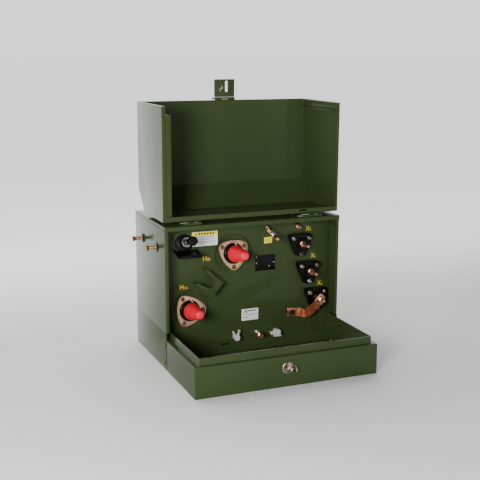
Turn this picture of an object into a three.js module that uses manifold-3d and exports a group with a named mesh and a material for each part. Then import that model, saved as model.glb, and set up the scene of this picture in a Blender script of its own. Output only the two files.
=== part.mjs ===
// Single-phase pad-mounted transformer with its flip-top hood open, in millimetres, +Z up.
// The origin is the centre of the footprint on the ground; the operator stands at -Y.
// Everything is laid out in the "unit" group, whose y = 0 is the tank's front flange plane.
import * as THREE from "three";
import { mergeVertices } from "three/addons/utils/BufferGeometryUtils.js";
import Module from "manifold-3d";

const wasm = await Module();
wasm.setup();

// ---------------------------------------------------------------- driving dimensions
const WIDTH = 812;
const TANK_DEPTH = 440;
const TANK_HEIGHT = 616;
const SILL_DEPTH = 360;
const SILL_HEIGHT = 130;
const SHEET = 3;
const GAP = 0.3;
const HALF = WIDTH / 2;
const INNER = HALF - SHEET;
const EYE_REACH = 30;
const FLANGE_Y = (SILL_DEPTH + EYE_REACH - TANK_DEPTH) / 2;

const PLATE_Y = 100;
const FLANGE_WIDTH = 14;
const COVER_FLANGE = 18;
const FLOOR_Z = 40;
const SKIRT_HEIGHT = 60;

const LIP_HEIGHT = 31;
const LIP_SIDE_INSET = 23.5;
const LIP_FRONT_INSET = 14;
const SILL_TAB = 50;
const SILL_REVEAL = 9;
const SILL_TAB_X = INNER - 0.6;

const HINGE_Y = 10;
const HINGE_Z = 622;
const HINGE_CENTRE_X = 282;
const HINGE_LENGTH = 82;
const KNUCKLE_R = 5.5;
const HINGE_PIN_R = 2.6;
const CLIP_X0 = 212;

const HOOD_REAR = -3;
const HOOD_FRONT = -358;
const HOOD_BOTTOM = 134;
const HOOD_TOP = 613;
const CHAMFER_RUN = 90;
const CHAMFER_DROP = 100;
const HOOD_LIP = 22;
const HOOD_FLANGE_LEFT = 17;
const HOOD_FLANGE_RIGHT = 9;
const STEP_BOTTOM = 170;
const STOP_Z = 171;
const STOP_INSET = 13;

const LOCK_X = -9.5;
const LOCK_Z = 81;
const LOCK_HOLE_R = 23;
const EYE_X = 18.5;
const EYE_Z = 75;
const EYE_WIRE_R = 2.5;
const EYE_HALF = 12;
const HASP = { x0: -40, x1: 57, y: -369, tip: 42, top: 121.5, sheet: 4, rim: 8 };
const HASP_PIVOT = { y: -364.8, z: 126.5, r: 4.2 };
const HASP_PIN_R = 1.8;
const HASP_SLOT = { z0: 55, z1: 93, r: 6.5 };
const LOCK_BOLT_R = 5;

const HV_TILT = THREE.MathUtils.degToRad(7);
const HV_POCKET_R = 88;
const HV_FLOOR = -11;
const HV_PLACES = { a: [-266, 221, 0], b: [-62, 460, -Math.PI / 2] };

const LV_PLACES = { x3: [257, 484], x1: [299, 354], x2: [341, 226] };
const LV_BOLTS = [[-38, 25], [38, 25], [0, -46]];
const LV_NECK_R = 19.5;
const LV_STUD_R = 8;

const FUSE_X = -291;
const FUSE_Z = 524;
const FUSE_TILT = THREE.MathUtils.degToRad(15);
const FUSE_TUBE_R = 20;

const RELIEF = { x: 100, z: 561, tilt: THREE.MathUtils.degToRad(-15), r: 9 };
const LEVEL_PLUG = { x: 244, z: 562, r: 9 };
const DRAIN = { x: 58, z: 81, r: 9 };
const CONNECTOR_LEFT = { x: -56, z: 82, turn: THREE.MathUtils.degToRad(-18) };
const CONNECTOR_RIGHT = { x: 142, z: 86, turn: THREE.MathUtils.degToRad(88) };
const GROUND_PAD = { x: 221, z: 165, size: 44 };
const GROUND_BOLT_R = 6;
const STRAP_WIDTH = 38;
const STRAP_THICKNESS = 5;
const PARKING = { x: -185, z: 346, turn: THREE.MathUtils.degToRad(-38), reach: 50 };
const RIVETS = [[49, 433], [49, 405], [133, 405], [111, 389]];

const LIFT_BOLT_Z = 513;
const LIFT_BOLT_Y = { front: 111, rear: 317 };
const LIFT_BOLT_R = 8;
const LIFT_BOSS_R = 20;
const LIFT_BOSS_REACH = 5;
const SILL_BOLTS = [[20, 105], [26, 28]];
const SILL_BOLT_R = 4;
const SILL_NUT_R = 7;

// ---------------------------------------------------------------- materials
function finish(color, roughness, metalness) {
  return new THREE.MeshStandardMaterial({ color, roughness, metalness });
}
const greenPaint = finish(0x22301a, 0.3, 0.1);
const blackEpoxy = finish(0x101010, 0.35, 0);
const blackPlastic = finish(0x141414, 0.45, 0);
const yellowZinc = finish(0xd8c49a, 0.3, 0.9);
const steel = finish(0xb8b8b4, 0.35, 0.9);
const brass = finish(0xc9a352, 0.3, 0.9);
const copper = finish(0xb5714f, 0.35, 0.9);
const tin = finish(0xd0d0cc, 0.3, 0.85);
const redCap = finish(0xd01626, 0.5, 0);
const coreSteel = finish(0x55565a, 0.5, 0.7);
const coilPaper = finish(0x9a7345, 0.8, 0);
const labelStock = finish(0xf2f2ee, 0.6, 0);

// ---------------------------------------------------------------- shape helpers
function box(x0, x1, y0, y1, z0, z1) {
  const shape = new THREE.BoxGeometry(x1 - x0, y1 - y0, z1 - z0);
  return shape.translate((x0 + x1) / 2, (y0 + y1) / 2, (z0 + z1) / 2);
}

function outline(points) {
  return new THREE.Shape(points.map(([u, v]) => new THREE.Vector2(u, v)));
}

function extrude(shape, depth, curveSegments = 8) {
  return new THREE.ExtrudeGeometry(shape, { depth, bevelEnabled: false, curveSegments });
}

// A (y, z) outline pushed along +X from x0 to x1.
function prismX(points, x0, x1) {
  const basis = new THREE.Matrix4().makeBasis(
    new THREE.Vector3(0, 1, 0),
    new THREE.Vector3(0, 0, 1),
    new THREE.Vector3(1, 0, 0),
  );
  return extrude(outline(points), x1 - x0).applyMatrix4(basis).translate(x0, 0, 0);
}

// A solid of revolution about local +Z; the profile lists [radius, z] up its outside.
function turned(profile, segments = 16) {
  const points = profile.map(([r, z]) => new THREE.Vector2(r, z));
  return new THREE.LatheGeometry(points, segments).rotateX(Math.PI / 2);
}

function barZ(radius, z0, z1, sides = 16) {
  return turned([[0, z0], [radius, z0], [radius, z1], [0, z1]], sides);
}

// A straight round bar between two points.
function bar(from, to, radius, sides = 12) {
  const a = new THREE.Vector3(...from);
  const b = new THREE.Vector3(...to);
  const along = b.clone().sub(a);
  const turn = new THREE.Quaternion().setFromUnitVectors(
    new THREE.Vector3(0, 0, 1),
    along.clone().normalize(),
  );
  return barZ(radius, 0, along.length(), sides)
    .applyQuaternion(turn)
    .translate(a.x, a.y, a.z);
}

// A closed tube that follows a smooth curve through the points.
function lead(points, radius, steps, sides = 8) {
  const curve = new THREE.CatmullRomCurve3(points.map((p) => new THREE.Vector3(...p)));
  const section = new THREE.Shape();
  section.absarc(0, 0, radius, 0, 2 * Math.PI, false);
  return new THREE.ExtrudeGeometry(section, {
    steps,
    extrudePath: curve,
    curveSegments: sides,
    bevelEnabled: false,
  });
}

// A flat strip of constant section; its width lies across the path in the XZ plane.
function ribbon(points, width, thickness) {
  const corners = [];
  points.forEach(([x, y, z], i) => {
    const before = points[Math.max(i - 1, 0)];
    const after = points[Math.min(i + 1, points.length - 1)];
    const along = new THREE.Vector3(after[0] - before[0], after[1] - before[1], after[2] - before[2]);
    const across = new THREE.Vector3(-along.z, 0, along.x).normalize();
    const normal = along.clone().cross(across).normalize();
    [[1, 1], [-1, 1], [-1, -1], [1, -1]].forEach(([u, v]) => {
      const corner = new THREE.Vector3(x, y, z);
      corner.addScaledVector(across, (u * width) / 2).addScaledVector(normal, (v * thickness) / 2);
      corners.push(corner.x, corner.y, corner.z);
    });
  });
  const faces = [0, 2, 1, 0, 3, 2];
  for (let i = 0; i + 1 < points.length; i++) {
    for (let k = 0; k < 4; k++) {
      const a = 4 * i + k;
      const b = 4 * i + ((k + 1) % 4);
      faces.push(a, b, b + 4, a, b + 4, a + 4);
    }
  }
  const end = 4 * (points.length - 1);
  faces.push(end, end + 1, end + 2, end, end + 2, end + 3);
  const strip = new THREE.BufferGeometry();
  strip.setAttribute("position", new THREE.Float32BufferAttribute(corners, 3));
  return strip.setIndex(faces);
}

function solid(geometry) {
  const bare = geometry.clone();
  bare.deleteAttribute("normal");
  bare.deleteAttribute("uv");
  const merged = mergeVertices(bare, 1e-3);
  const body = new wasm.Manifold(
    new wasm.Mesh({
      numProp: 3,
      vertProperties: merged.attributes.position.array,
      triVerts: new Uint32Array(merged.index.array),
    }),
  );
  return body;
}

function geometryOf(body) {
  const mesh = body.getMesh();
  const geometry = new THREE.BufferGeometry();
  geometry.setAttribute("position", new THREE.BufferAttribute(mesh.vertProperties, 3));
  geometry.setIndex(new THREE.BufferAttribute(mesh.triVerts, 1));
  geometry.computeVertexNormals();
  return geometry;
}

function joined(...pieces) {
  return geometryOf(pieces.map(solid).reduce((whole, piece) => whole.add(piece)));
}

function cut(base, ...tools) {
  return geometryOf(tools.map(solid).reduce((left, tool) => left.subtract(tool), solid(base)));
}

function common(base, other) {
  return geometryOf(solid(base).intersect(solid(other)));
}

function add(group, name, geometry, material) {
  const mesh = new THREE.Mesh(geometry, material);
  mesh.name = name;
  group.add(mesh);
}

// Local +Z of a fitting on the front plate points out at the operator, raised by the tilt.
function plateMatrix(x, z, tilt = 0) {
  const turn = new THREE.Matrix4().makeRotationX(Math.PI / 2 - tilt);
  return new THREE.Matrix4().makeTranslation(x, PLATE_Y, z).multiply(turn);
}

function plateGroup(parent, x, z, tilt = 0) {
  const group = new THREE.Group();
  group.position.set(x, PLATE_Y, z);
  group.rotation.x = Math.PI / 2 - tilt;
  parent.add(group);
  return group;
}

// ---------------------------------------------------------------- tank
function liftBoss(side, y) {
  const at = (reach) => [side * (HALF + reach), y, LIFT_BOLT_Z];
  const weld = ordered(side * (HALF - 1), side * (HALF + 1));
  const half = 12;
  const root = box(...weld, y - half, y + half, LIFT_BOLT_Z - half, LIFT_BOLT_Z + half);
  const hole = bar(at(2), at(LIFT_BOSS_REACH + 8), LIFT_BOLT_R + GAP);
  return cut(joined(bar(at(0), at(LIFT_BOSS_REACH), LIFT_BOSS_R, 6), root), hole);
}

function ordered(a, b) {
  return a < b ? [a, b] : [b, a];
}

function tankWrapper() {
  const top = TANK_HEIGHT - SHEET - GAP;
  const pieces = [box(-HALF, HALF, TANK_DEPTH - SHEET, TANK_DEPTH, 0, top)];
  const holes = [];
  for (const side of [-1, 1]) {
    const wall = ordered(side * HALF, side * INNER);
    const flange = ordered(side * HALF, side * (HALF - FLANGE_WIDTH));
    const flangeTop = TANK_HEIGHT - COVER_FLANGE - GAP;
    const channel = ordered(side * (INNER + 1), side * (INNER - 10));
    pieces.push(box(...wall, 0, TANK_DEPTH, 0, top));
    pieces.push(box(...flange, 0, SHEET, SILL_HEIGHT + LIP_HEIGHT + 2, flangeTop));
    pieces.push(box(...channel, 22, 54, 172, 566));
    pieces.push(liftBoss(side, LIFT_BOLT_Y.front), liftBoss(side, LIFT_BOLT_Y.rear));
    for (const [y, z] of SILL_BOLTS) {
      holes.push(bar([side * (HALF + 5), y, z], [side * (INNER - 5), y, z], SILL_BOLT_R + GAP));
    }
  }
  return cut(joined(...pieces), ...holes);
}

function tankCover() {
  const panel = box(-HALF, HALF, 0, TANK_DEPTH, TANK_HEIGHT - SHEET, TANK_HEIGHT);
  const inside = INNER - GAP;
  const flange = box(-inside, inside, 0, SHEET, TANK_HEIGHT - COVER_FLANGE, TANK_HEIGHT - 1);
  return joined(panel, flange);
}

// The plate carries every bushing; each high-voltage place is a round pocket that tilts up.
function frontPlate() {
  const inside = INNER - GAP;
  const sheet = box(-inside, inside, PLATE_Y, PLATE_Y + SHEET, SHEET, TANK_HEIGHT - SHEET - GAP);
  const behind = box(-INNER, INNER, PLATE_Y + SHEET / 2, PLATE_Y + 60, 0, TANK_HEIGHT);
  const holes = [];
  const pockets = [];
  for (const [x, z] of Object.values(HV_PLACES)) {
    const place = plateMatrix(x, z, HV_TILT);
    holes.push(barZ(HV_POCKET_R - SHEET / 2, HV_FLOOR - 2 * SHEET, 30, 32).applyMatrix4(place));
    const cup = turned(
      [
        [36, HV_FLOOR - SHEET],
        [HV_POCKET_R, HV_FLOOR - SHEET],
        [HV_POCKET_R, 30],
        [HV_POCKET_R - SHEET, 30],
        [HV_POCKET_R - SHEET, HV_FLOOR],
        [36, HV_FLOOR],
        [36, HV_FLOOR - SHEET],
      ],
      32,
    ).applyMatrix4(place);
    pockets.push(common(cup, behind));
  }
  for (const [x, z] of Object.values(LV_PLACES)) {
    holes.push(barZ(LV_NECK_R + GAP, -10, 10).applyMatrix4(plateMatrix(x, z)));
  }
  holes.push(barZ(FUSE_TUBE_R + 2, -30, 30).applyMatrix4(plateMatrix(FUSE_X, FUSE_Z, FUSE_TILT)));
  for (const fitting of [RELIEF, LEVEL_PLUG, DRAIN]) {
    holes.push(barZ(fitting.r + GAP, -20, 20).applyMatrix4(plateMatrix(fitting.x, fitting.z)));
  }
  return joined(cut(sheet, ...holes), ...pockets);
}

function baseSkirt() {
  const inside = INNER - GAP;
  const strip = box(-inside, inside, PLATE_Y - 5, PLATE_Y - GAP, SHEET, SKIRT_HEIGHT);
  const shelf = box(-inside, inside, PLATE_Y - 12, PLATE_Y - 4, SHEET, 2 * SHEET);
  const slot = box(-122, -84, PLATE_Y - 20, PLATE_Y + 5, 46, 54);
  return cut(joined(strip, shelf), slot);
}

function liftBolt(side, y) {
  const x = (distance) => [side * (HALF + distance), y, LIFT_BOLT_Z];
  return joined(bar(x(4), x(40), LIFT_BOLT_R), bar(x(38), x(49), 13, 6));
}

// ---------------------------------------------------------------- sill
function sillShell() {
  const tabX = SILL_TAB_X;
  const ledge = [SILL_HEIGHT - SHEET, SILL_HEIGHT];
  const lip = [SILL_HEIGHT - SHEET, SILL_HEIGHT + LIP_HEIGHT];
  const front = -SILL_DEPTH;
  const lipY = front + LIP_FRONT_INSET;
  const lipX = HALF - LIP_SIDE_INSET;
  const root = -SILL_REVEAL - 10;
  const pieces = [
    box(-HALF, HALF, front, front + SHEET, 0, SILL_HEIGHT),
    box(-HALF, HALF, front, lipY + SHEET, ...ledge),
    box(-lipX, lipX, lipY, lipY + SHEET, ...lip),
  ];
  for (const side of [-1, 1]) {
    const wall = ordered(side * HALF, side * INNER);
    const tab = ordered(side * tabX, side * (tabX - SHEET));
    const outerLedge = ordered(side * HALF, side * (lipX - SHEET));
    const innerLedge = ordered(side * tabX, side * (lipX - SHEET));
    const upright = ordered(side * lipX, side * (lipX - SHEET));
    const bridge = ordered(side * (HALF - 1), side * (tabX - SHEET));
    pieces.push(box(...wall, front, -SILL_REVEAL, 0, SILL_HEIGHT));
    pieces.push(box(...bridge, root, -SILL_REVEAL - 0.4, SHEET, SILL_HEIGHT - 0.5));
    pieces.push(box(...tab, root, SILL_TAB, SHEET, SILL_HEIGHT - 0.5));
    pieces.push(box(...outerLedge, front, -SILL_REVEAL, ...ledge));
    pieces.push(box(...innerLedge, root, SILL_TAB, ledge[0], ledge[1] - 0.5));
    pieces.push(box(...upright, lipY, SILL_TAB, ...lip));
    for (const [y, z] of SILL_BOLTS) {
      const at = (distance) => [side * distance, y, z];
      pieces.push(bar(at(HALF + 4), at(tabX - 14), SILL_BOLT_R));
      pieces.push(bar(at(HALF + GAP), at(HALF + 6), SILL_NUT_R, 6));
      pieces.push(bar(at(tabX - SHEET + 1), at(tabX - 12), SILL_NUT_R, 6));
    }
  }
  const through = (x, z, r, sides) => bar([x, front - 5, z], [x, front + 8, z], r, sides);
  return cut(
    joined(...pieces),
    through(LOCK_X, LOCK_Z, LOCK_HOLE_R, 24),
    through(EYE_X, EYE_Z + EYE_HALF, EYE_WIRE_R + 1),
    through(EYE_X, EYE_Z - EYE_HALF, EYE_WIRE_R + 1),
  );
}

// ---------------------------------------------------------------- lock
// A funnel in the sill's face guides the hasp's bolt down to the nut behind it.
function lockCup() {
  return turned(
    [
      [8.5, -14],
      [11.5, -14],
      [22.5, -1.5],
      [22.5, GAP],
      [24.6, GAP],
      [25, 3],
      [23.3, 5],
      [20.5, 4],
      [8.5, -10],
      [8.5, -14],
    ],
    24,
  );
}

function lockNut() {
  return cut(barZ(12, -26, -14.3, 6), barZ(LOCK_BOLT_R + GAP, -30, 0));
}

// A padlock passes through this loop once the hasp's slot has dropped over it.
function padlockEye() {
  const out = EYE_REACH - EYE_WIRE_R;
  const half = EYE_HALF;
  return lead(
    [
      [0, -half, -10],
      [0, -half - 0.3, 6],
      [0, -half + 0.5, out - 9.5],
      [0, -half * 0.55, out - 2],
      [0, 0, out],
      [0, half * 0.55, out - 2],
      [0, half - 0.5, out - 9.5],
      [0, half + 0.3, 6],
      [0, half, -10],
    ],
    EYE_WIRE_R,
    16,
  );
}

// ---------------------------------------------------------------- hinges
function knuckles(spans) {
  return spans.map(([x0, x1]) => bar([x0, 0, 0], [x1, 0, 0], KNUCKLE_R, 20));
}

function hingeSpans() {
  const end = HINGE_LENGTH / 2;
  const third = HINGE_LENGTH / 6;
  return { outer: [[-end, -third - GAP], [third + GAP, end]], middle: [[-third, third]] };
}

// The tank leaf holds the pin; it lies on the cover behind the knuckles.
function tankLeaf() {
  const end = HINGE_LENGTH / 2;
  const low = TANK_HEIGHT + GAP - HINGE_Z;
  const plates = hingeSpans().outer.map(([x0, x1]) => box(x0, x1, 1, 14, low, low + SHEET));
  const plate = box(-end, end, 13, 48, low, low + SHEET);
  const pin = bar([-end - 1, 0, 0], [end + 1, 0, 0], HINGE_PIN_R);
  return joined(plate, pin, ...plates, ...knuckles(hingeSpans().outer));
}

// The hood leaf lies on the hood's top panel and steps up to the middle knuckle.
function hoodLeaf() {
  const end = HINGE_LENGTH / 2;
  const third = HINGE_LENGTH / 6;
  const low = HOOD_TOP + GAP - HINGE_Z;
  const plate = box(-end, end, -55, -16.5, low, low + SHEET);
  const riser = box(-third, third, -19.5, -16.5, low, low + 7);
  const bridge = box(-third, third, -19.5, -2, low + 4, low + 7);
  const bore = bar([-end, 0, 0], [end, 0, 0], HINGE_PIN_R + GAP);
  return cut(joined(plate, riser, bridge, ...knuckles(hingeSpans().middle)), bore);
}

function lipClip() {
  const span = [CLIP_X0, HINGE_CENTRE_X - HINGE_LENGTH / 2 - 2];
  const face = box(...span, -2.6, -GAP, TANK_HEIGHT - 19, TANK_HEIGHT + 3);
  const top = box(...span, -2.6, 34, TANK_HEIGHT + GAP, TANK_HEIGHT + 3);
  return joined(face, top);
}

// ---------------------------------------------------------------- hood (drawn closed)
function hoodShell() {
  const outer = [
    [HOOD_REAR, HOOD_BOTTOM],
    [HOOD_FRONT, HOOD_BOTTOM],
    [HOOD_FRONT, HOOD_TOP - CHAMFER_DROP],
    [HOOD_FRONT + CHAMFER_RUN, HOOD_TOP],
    [HOOD_REAR, HOOD_TOP],
  ];
  const slope = Math.hypot(CHAMFER_RUN, CHAMFER_DROP);
  const front = HOOD_FRONT + SHEET;
  const top = HOOD_TOP - SHEET;
  const kneeZ = HOOD_TOP - CHAMFER_DROP + (SHEET * (CHAMFER_DROP - slope)) / CHAMFER_RUN;
  const kneeY = HOOD_FRONT + CHAMFER_RUN + (SHEET * (slope - CHAMFER_RUN)) / CHAMFER_DROP;
  const inner = [
    [HOOD_REAR + 5, HOOD_BOTTOM - 5],
    [front, HOOD_BOTTOM - 5],
    [front, kneeZ],
    [kneeY, top],
    [HOOD_REAR + 5, top],
  ];
  const shell = cut(prismX(outer, -HALF, HALF), prismX(inner, -INNER, INNER));
  const rear = HOOD_REAR;
  const low = HOOD_BOTTOM;
  const high = HOOD_TOP - 1;
  const stepX = HOOD_FLANGE_LEFT - HALF;
  const frontHem = [front - 1, front + 7.5, low + 0.5, low + 3.5];
  const sideHem = [front - 0.5, rear - 1, low + 1, low + 4];
  const pieces = [
    box(-HALF + 1, stepX, rear - SHEET - 0.2, rear - 0.2, low + 2, high),
    box(stepX - SHEET, stepX - 0.5, rear - 7, rear - 0.6, STEP_BOTTOM, high - 0.4),
    box(stepX - SHEET + 0.5, stepX + 25, rear - 7.4, rear - 4.4, STEP_BOTTOM + 0.5, high - 0.7),
    box(HALF - HOOD_FLANGE_RIGHT, HALF - 1, rear - SHEET - 0.2, rear - 0.2, low + 2, high),
    box(-INNER - 1, INNER + 1, rear - SHEET, rear - 0.4, HOOD_TOP - HOOD_LIP, high - 0.3),
    box(-INNER - 1.5, INNER + 1.5, ...frontHem),
    box(-INNER - 1, -INNER + 12, ...sideHem),
    box(INNER - 12, INNER + 1, ...sideHem),
  ];
  const slot = box(218, 256, rear - 10, rear + 5, HOOD_TOP - 19, HOOD_TOP - 9);
  return cut(joined(shell, ...pieces), slot);
}

function stopAngle(side) {
  const leg = ordered(side * (INNER - GAP), side * (INNER - 26));
  const back = ordered(side * (INNER - GAP), side * (INNER - GAP - SHEET));
  const run = [HOOD_FRONT + STOP_INSET, HOOD_REAR - STOP_INSET];
  const shelf = box(...leg, ...run, STOP_Z, STOP_Z + SHEET);
  const upright = box(...back, ...run, STOP_Z - 19, STOP_Z + 2);
  return joined(shelf, upright);
}

// The leaf on the hood's outer face carries the hasp's pin just below the hood's edge.
function haspLeaf() {
  const third = (HASP.x1 - HASP.x0) / 3;
  const outer = HOOD_FRONT - GAP;
  const { y, z, r } = HASP_PIVOT;
  const pieces = [
    box(HASP.x0, HASP.x1, outer - SHEET, outer, z + 4.7, z + 34),
    bar([HASP.x0 - 4, y, z], [HASP.x1 + 2, y, z], HASP_PIN_R),
    bar([HASP.x0 - 11, y, z], [HASP.x0 - 3, y, z], r, 16),
  ];
  for (const [x0, x1] of [[HASP.x0, HASP.x0 + third - GAP], [HASP.x1 - third + GAP, HASP.x1]]) {
    pieces.push(bar([x0, y, z], [x1, y, z], r));
    pieces.push(box(x0, x1, y - 2, outer - 2.5, z, z + 6));
  }
  return joined(...pieces);
}

function haspPlate() {
  const third = (HASP.x1 - HASP.x0) / 3;
  const { y, z, r } = HASP_PIVOT;
  const face = [HASP.y - HASP.sheet / 2, HASP.y + HASP.sheet / 2];
  const rim = [HASP.y, face[1] + HASP.rim - HASP.sheet / 2];
  const middle = [HASP.x0 + third, HASP.x1 - third];
  const whole = joined(
    box(HASP.x0, HASP.x1, ...face, HASP.tip, HASP.top),
    box(...middle, ...face, HASP.top - 2, z + 1),
    bar([middle[0], y, z], [middle[1], y, z], r),
    box(HASP.x0, HASP.x1, ...rim, HASP.tip, HASP.tip + 3),
    box(HASP.x0, HASP.x0 + 3, ...rim, HASP.tip, HASP.top),
    box(HASP.x1 - 3, HASP.x1, ...rim, HASP.tip, HASP.top),
  );
  const through = (x, at, radius) => bar([x, HASP.y - 9, at], [x, HASP.y + 9, at], radius);
  const slotX = [EYE_X - HASP_SLOT.r, EYE_X + HASP_SLOT.r];
  return cut(
    whole,
    bar([HASP.x0, y, z], [HASP.x1, y, z], HASP_PIN_R + GAP),
    through(LOCK_X, LOCK_Z, LOCK_BOLT_R + GAP),
    box(...slotX, HASP.y - 9, HASP.y + 9, HASP_SLOT.z0, HASP_SLOT.z1),
    through(EYE_X, HASP_SLOT.z0, HASP_SLOT.r),
    through(EYE_X, HASP_SLOT.z1, HASP_SLOT.r),
  );
}

// The captive lock bolt: a five-sided head outside, a cross-shaped retainer inside.
function pentaBolt() {
  const outside = HASP.y - HASP.sheet / 2 - GAP;
  const inside = HASP.y + HASP.sheet / 2 + GAP;
  const at = (dx, y, dz) => [LOCK_X + dx, y, LOCK_Z + dz];
  return joined(
    bar(at(0, outside - 8, 0), at(0, outside, 0), 9, 5),
    bar(at(0, outside - 1, 0), at(0, -350, 0), LOCK_BOLT_R),
    bar(at(-15.5, inside + 2.4, 5.6), at(13, inside + 2.4, -4.8), 2.4, 8),
    bar(at(5, inside + 2.4, -14.5), at(-5, inside + 2.4, 15), 2.4, 8),
  );
}

// ---------------------------------------------------------------- high-voltage bushings
function hvWell() {
  const low = HV_FLOOR + GAP;
  const body = turned([
    [0, -118],
    [16, -118],
    [24, -60],
    [35, HV_FLOOR - SHEET],
    [35, low],
    [52, low],
    [52, low + 8],
    [41, low + 8],
    [41, 22],
    [33, 22],
    [31, 34],
    [20, 112],
    [14, 118],
    [0, 118],
  ], 20);
  return body;
}

// Three lobes; the outline's radius swings between the bolt corners and the flat sides.
function lobes(corner, side) {
  const points = [];
  const count = 36;
  for (let i = 0; i < count; i++) {
    const angle = (2 * Math.PI * i) / count;
    const mean = (corner + side) / 2;
    const swing = (corner - side) / 2;
    const r = mean + swing * Math.cos(3 * angle);
    points.push([r * Math.cos(angle), r * Math.sin(angle)]);
  }
  return points;
}

function hvClamp() {
  const low = HV_FLOOR + 8.8;
  const plate = extrude(outline(lobes(78, 57)), 4).translate(0, 0, low);
  const rimOuter = extrude(outline(lobes(78, 57)), 9).translate(0, 0, low);
  const rimInner = extrude(outline(lobes(74, 53)), 9).translate(0, 0, low + 4);
  const opening = barZ(44, low - 5, low + 20, 24);
  const pieces = [cut(joined(plate, rimOuter), rimInner, opening)];
  for (const turn of [0, 1, 2]) {
    const angle = (2 * Math.PI * turn) / 3;
    const x = 60 * Math.cos(angle);
    const y = 60 * Math.sin(angle);
    pieces.push(barZ(6.2, HV_FLOOR + GAP, low + 8, 12).translate(x, y, 0));
    pieces.push(barZ(9.5, low + 3.9, low + 12, 6).translate(x, y, 0));
  }
  return joined(...pieces);
}

function hvCap() {
  const outer = turned([
    [0, 24],
    [35.5, 24],
    [37, 26],
    [37, 44],
    [35, 50],
    [24, 117],
    [21, 123],
    [19.5, 134],
    [16, 140],
    [0, 142],
  ], 22);
  const inside = turned([[0, 20], [34.6, 20], [33, 36], [21.6, 114], [15.5, 121], [0, 122]], 20);
  return cut(outer, inside);
}

// ---------------------------------------------------------------- low-voltage bushings
function lvBlock() {
  const shape = outline([
    [-46, 43],
    [40, 43],
    [52, 36],
    [54, 20],
    [24, -50],
    [14, -58],
    [-14, -58],
    [-24, -50],
    [-56, 22],
    [-54, 38],
  ]);
  const pieces = [
    extrude(shape, 26).translate(0, 0, GAP),
    barZ(27, 20, 33, 20),
    barZ(LV_NECK_R, -46, 5),
  ];
  for (const [x, y] of LV_BOLTS) {
    pieces.push(barZ(10, 20, 28, 12).translate(x, y, 0));
    pieces.push(barZ(7, 24, 36, 6).translate(x, y, 0));
    pieces.push(barZ(4.5, 30, 43, 10).translate(x, y, 0));
  }
  return cut(joined(...pieces), barZ(LV_STUD_R + GAP, -60, 60));
}

function lvStud() {
  return turned([
    [0, -72],
    [LV_STUD_R, -72],
    [LV_STUD_R, 33.4],
    [14, 33.4],
    [14, 58],
    [LV_STUD_R, 58],
    [LV_STUD_R, 96],
    [6.5, 98],
    [0, 98],
  ]);
}

// The laminated strap bonds the neutral stud to the welded pad on the plate.
function groundStrap(neutral) {
  const padY = PLATE_Y - 12;
  const studY = PLATE_Y - 62;
  const path = [
    [GROUND_PAD.x - 22, padY, GROUND_PAD.z],
    [GROUND_PAD.x + 24, padY, GROUND_PAD.z],
    [GROUND_PAD.x + 36, padY - 8, GROUND_PAD.z - 2],
    [GROUND_PAD.x + 52, padY - 22, GROUND_PAD.z - 4],
    [GROUND_PAD.x + 70, padY - 32, GROUND_PAD.z + 6],
    [GROUND_PAD.x + 86, padY - 42, GROUND_PAD.z + 22],
    [neutral[0] - 14, studY, neutral[1] - 18],
    [neutral[0] + 14, studY, neutral[1] + 14],
  ];
  const across = (x, y, z, radius) => bar([x, y - 20, z], [x, y + 20, z], radius);
  return cut(
    ribbon(path, STRAP_WIDTH, STRAP_THICKNESS),
    across(GROUND_PAD.x, padY, GROUND_PAD.z, GROUND_BOLT_R + GAP),
    across(neutral[0], studY, neutral[1], LV_STUD_R + GAP),
  );
}

function groundPad() {
  const half = GROUND_PAD.size / 2;
  const { x, z } = GROUND_PAD;
  const pad = box(x - half, x + half, PLATE_Y - 9, PLATE_Y - GAP, z - half, z + half);
  return cut(pad, bar([x, 50, z], [x, PLATE_Y - 3, z], GROUND_BOLT_R + GAP));
}

function groundBolt() {
  const at = (out) => [GROUND_PAD.x, PLATE_Y - out, GROUND_PAD.z];
  const washer = bar(at(17), at(14.9), 15, 24);
  const head = bar(at(16.5), at(25), 10.5, 6);
  return joined(bar(at(4), at(20), GROUND_BOLT_R), washer, head);
}

// ---------------------------------------------------------------- plate fittings
// A channel bracket: a slotted web for a parked bushing, with two flanges back to the plate.
function parkingStand() {
  const web = outline([
    [-52, 41],
    [47, 36],
    [47, -36],
    [-52, -41],
    [-52, -30],
    [-4, -23],
    [4, -21],
    [12, -17],
    [18, -9],
    [20, 0],
    [18, 9],
    [12, 17],
    [4, 21],
    [-4, 23],
    [-52, 30],
  ]);
  const flange = (side) => {
    const edge = [[-50, 40.8 * side], [47, 36 * side], [47, 32 * side], [-50, 36.8 * side]];
    return extrude(outline(edge), PARKING.reach).translate(0, 0, GAP);
  };
  return joined(extrude(web, 4).translate(0, 0, PARKING.reach - 3), flange(1), flange(-1));
}

function nameplate() {
  const card = box(43, 139, PLATE_Y - 2.5, PLATE_Y - GAP, 370, 440);
  const rivets = RIVETS.map(([x, z]) => bar([x, PLATE_Y - 2, z], [x, PLATE_Y - 4.5, z], 3.2, 12));
  return joined(card, ...rivets);
}

function reliefValve(group) {
  const body = joined(
    barZ(RELIEF.r - 0.8, -14, 14),
    turned([[0, 16], [14, 16], [14, 44], [0, 44]], 6),
    turned([[0, 4], [12, 4], [13, 16.5], [0, 16.5]], 20),
    barZ(9, 43, 64),
  );
  const hollow = barZ(4.5, 38, 72);
  const loop = new THREE.TorusGeometry(9, 1.4, 6, 14);
  loop.rotateX(Math.PI / 2);
  loop.translate(-8, 11, 14);
  add(group, "relief_valve", joined(cut(body, hollow), loop), brass);
  const cap = joined(
    barZ(4, 42, 90, 12),
    barZ(12, 65, 69, 24),
    barZ(9, 68, 81, 20),
    barZ(12.5, 80, 88, 24),
    turned([[0, 87], [11, 87], [11, 114], [8, 118], [0, 118]], 20),
  );
  add(group, "relief_cap", cap, brass);
}

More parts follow.
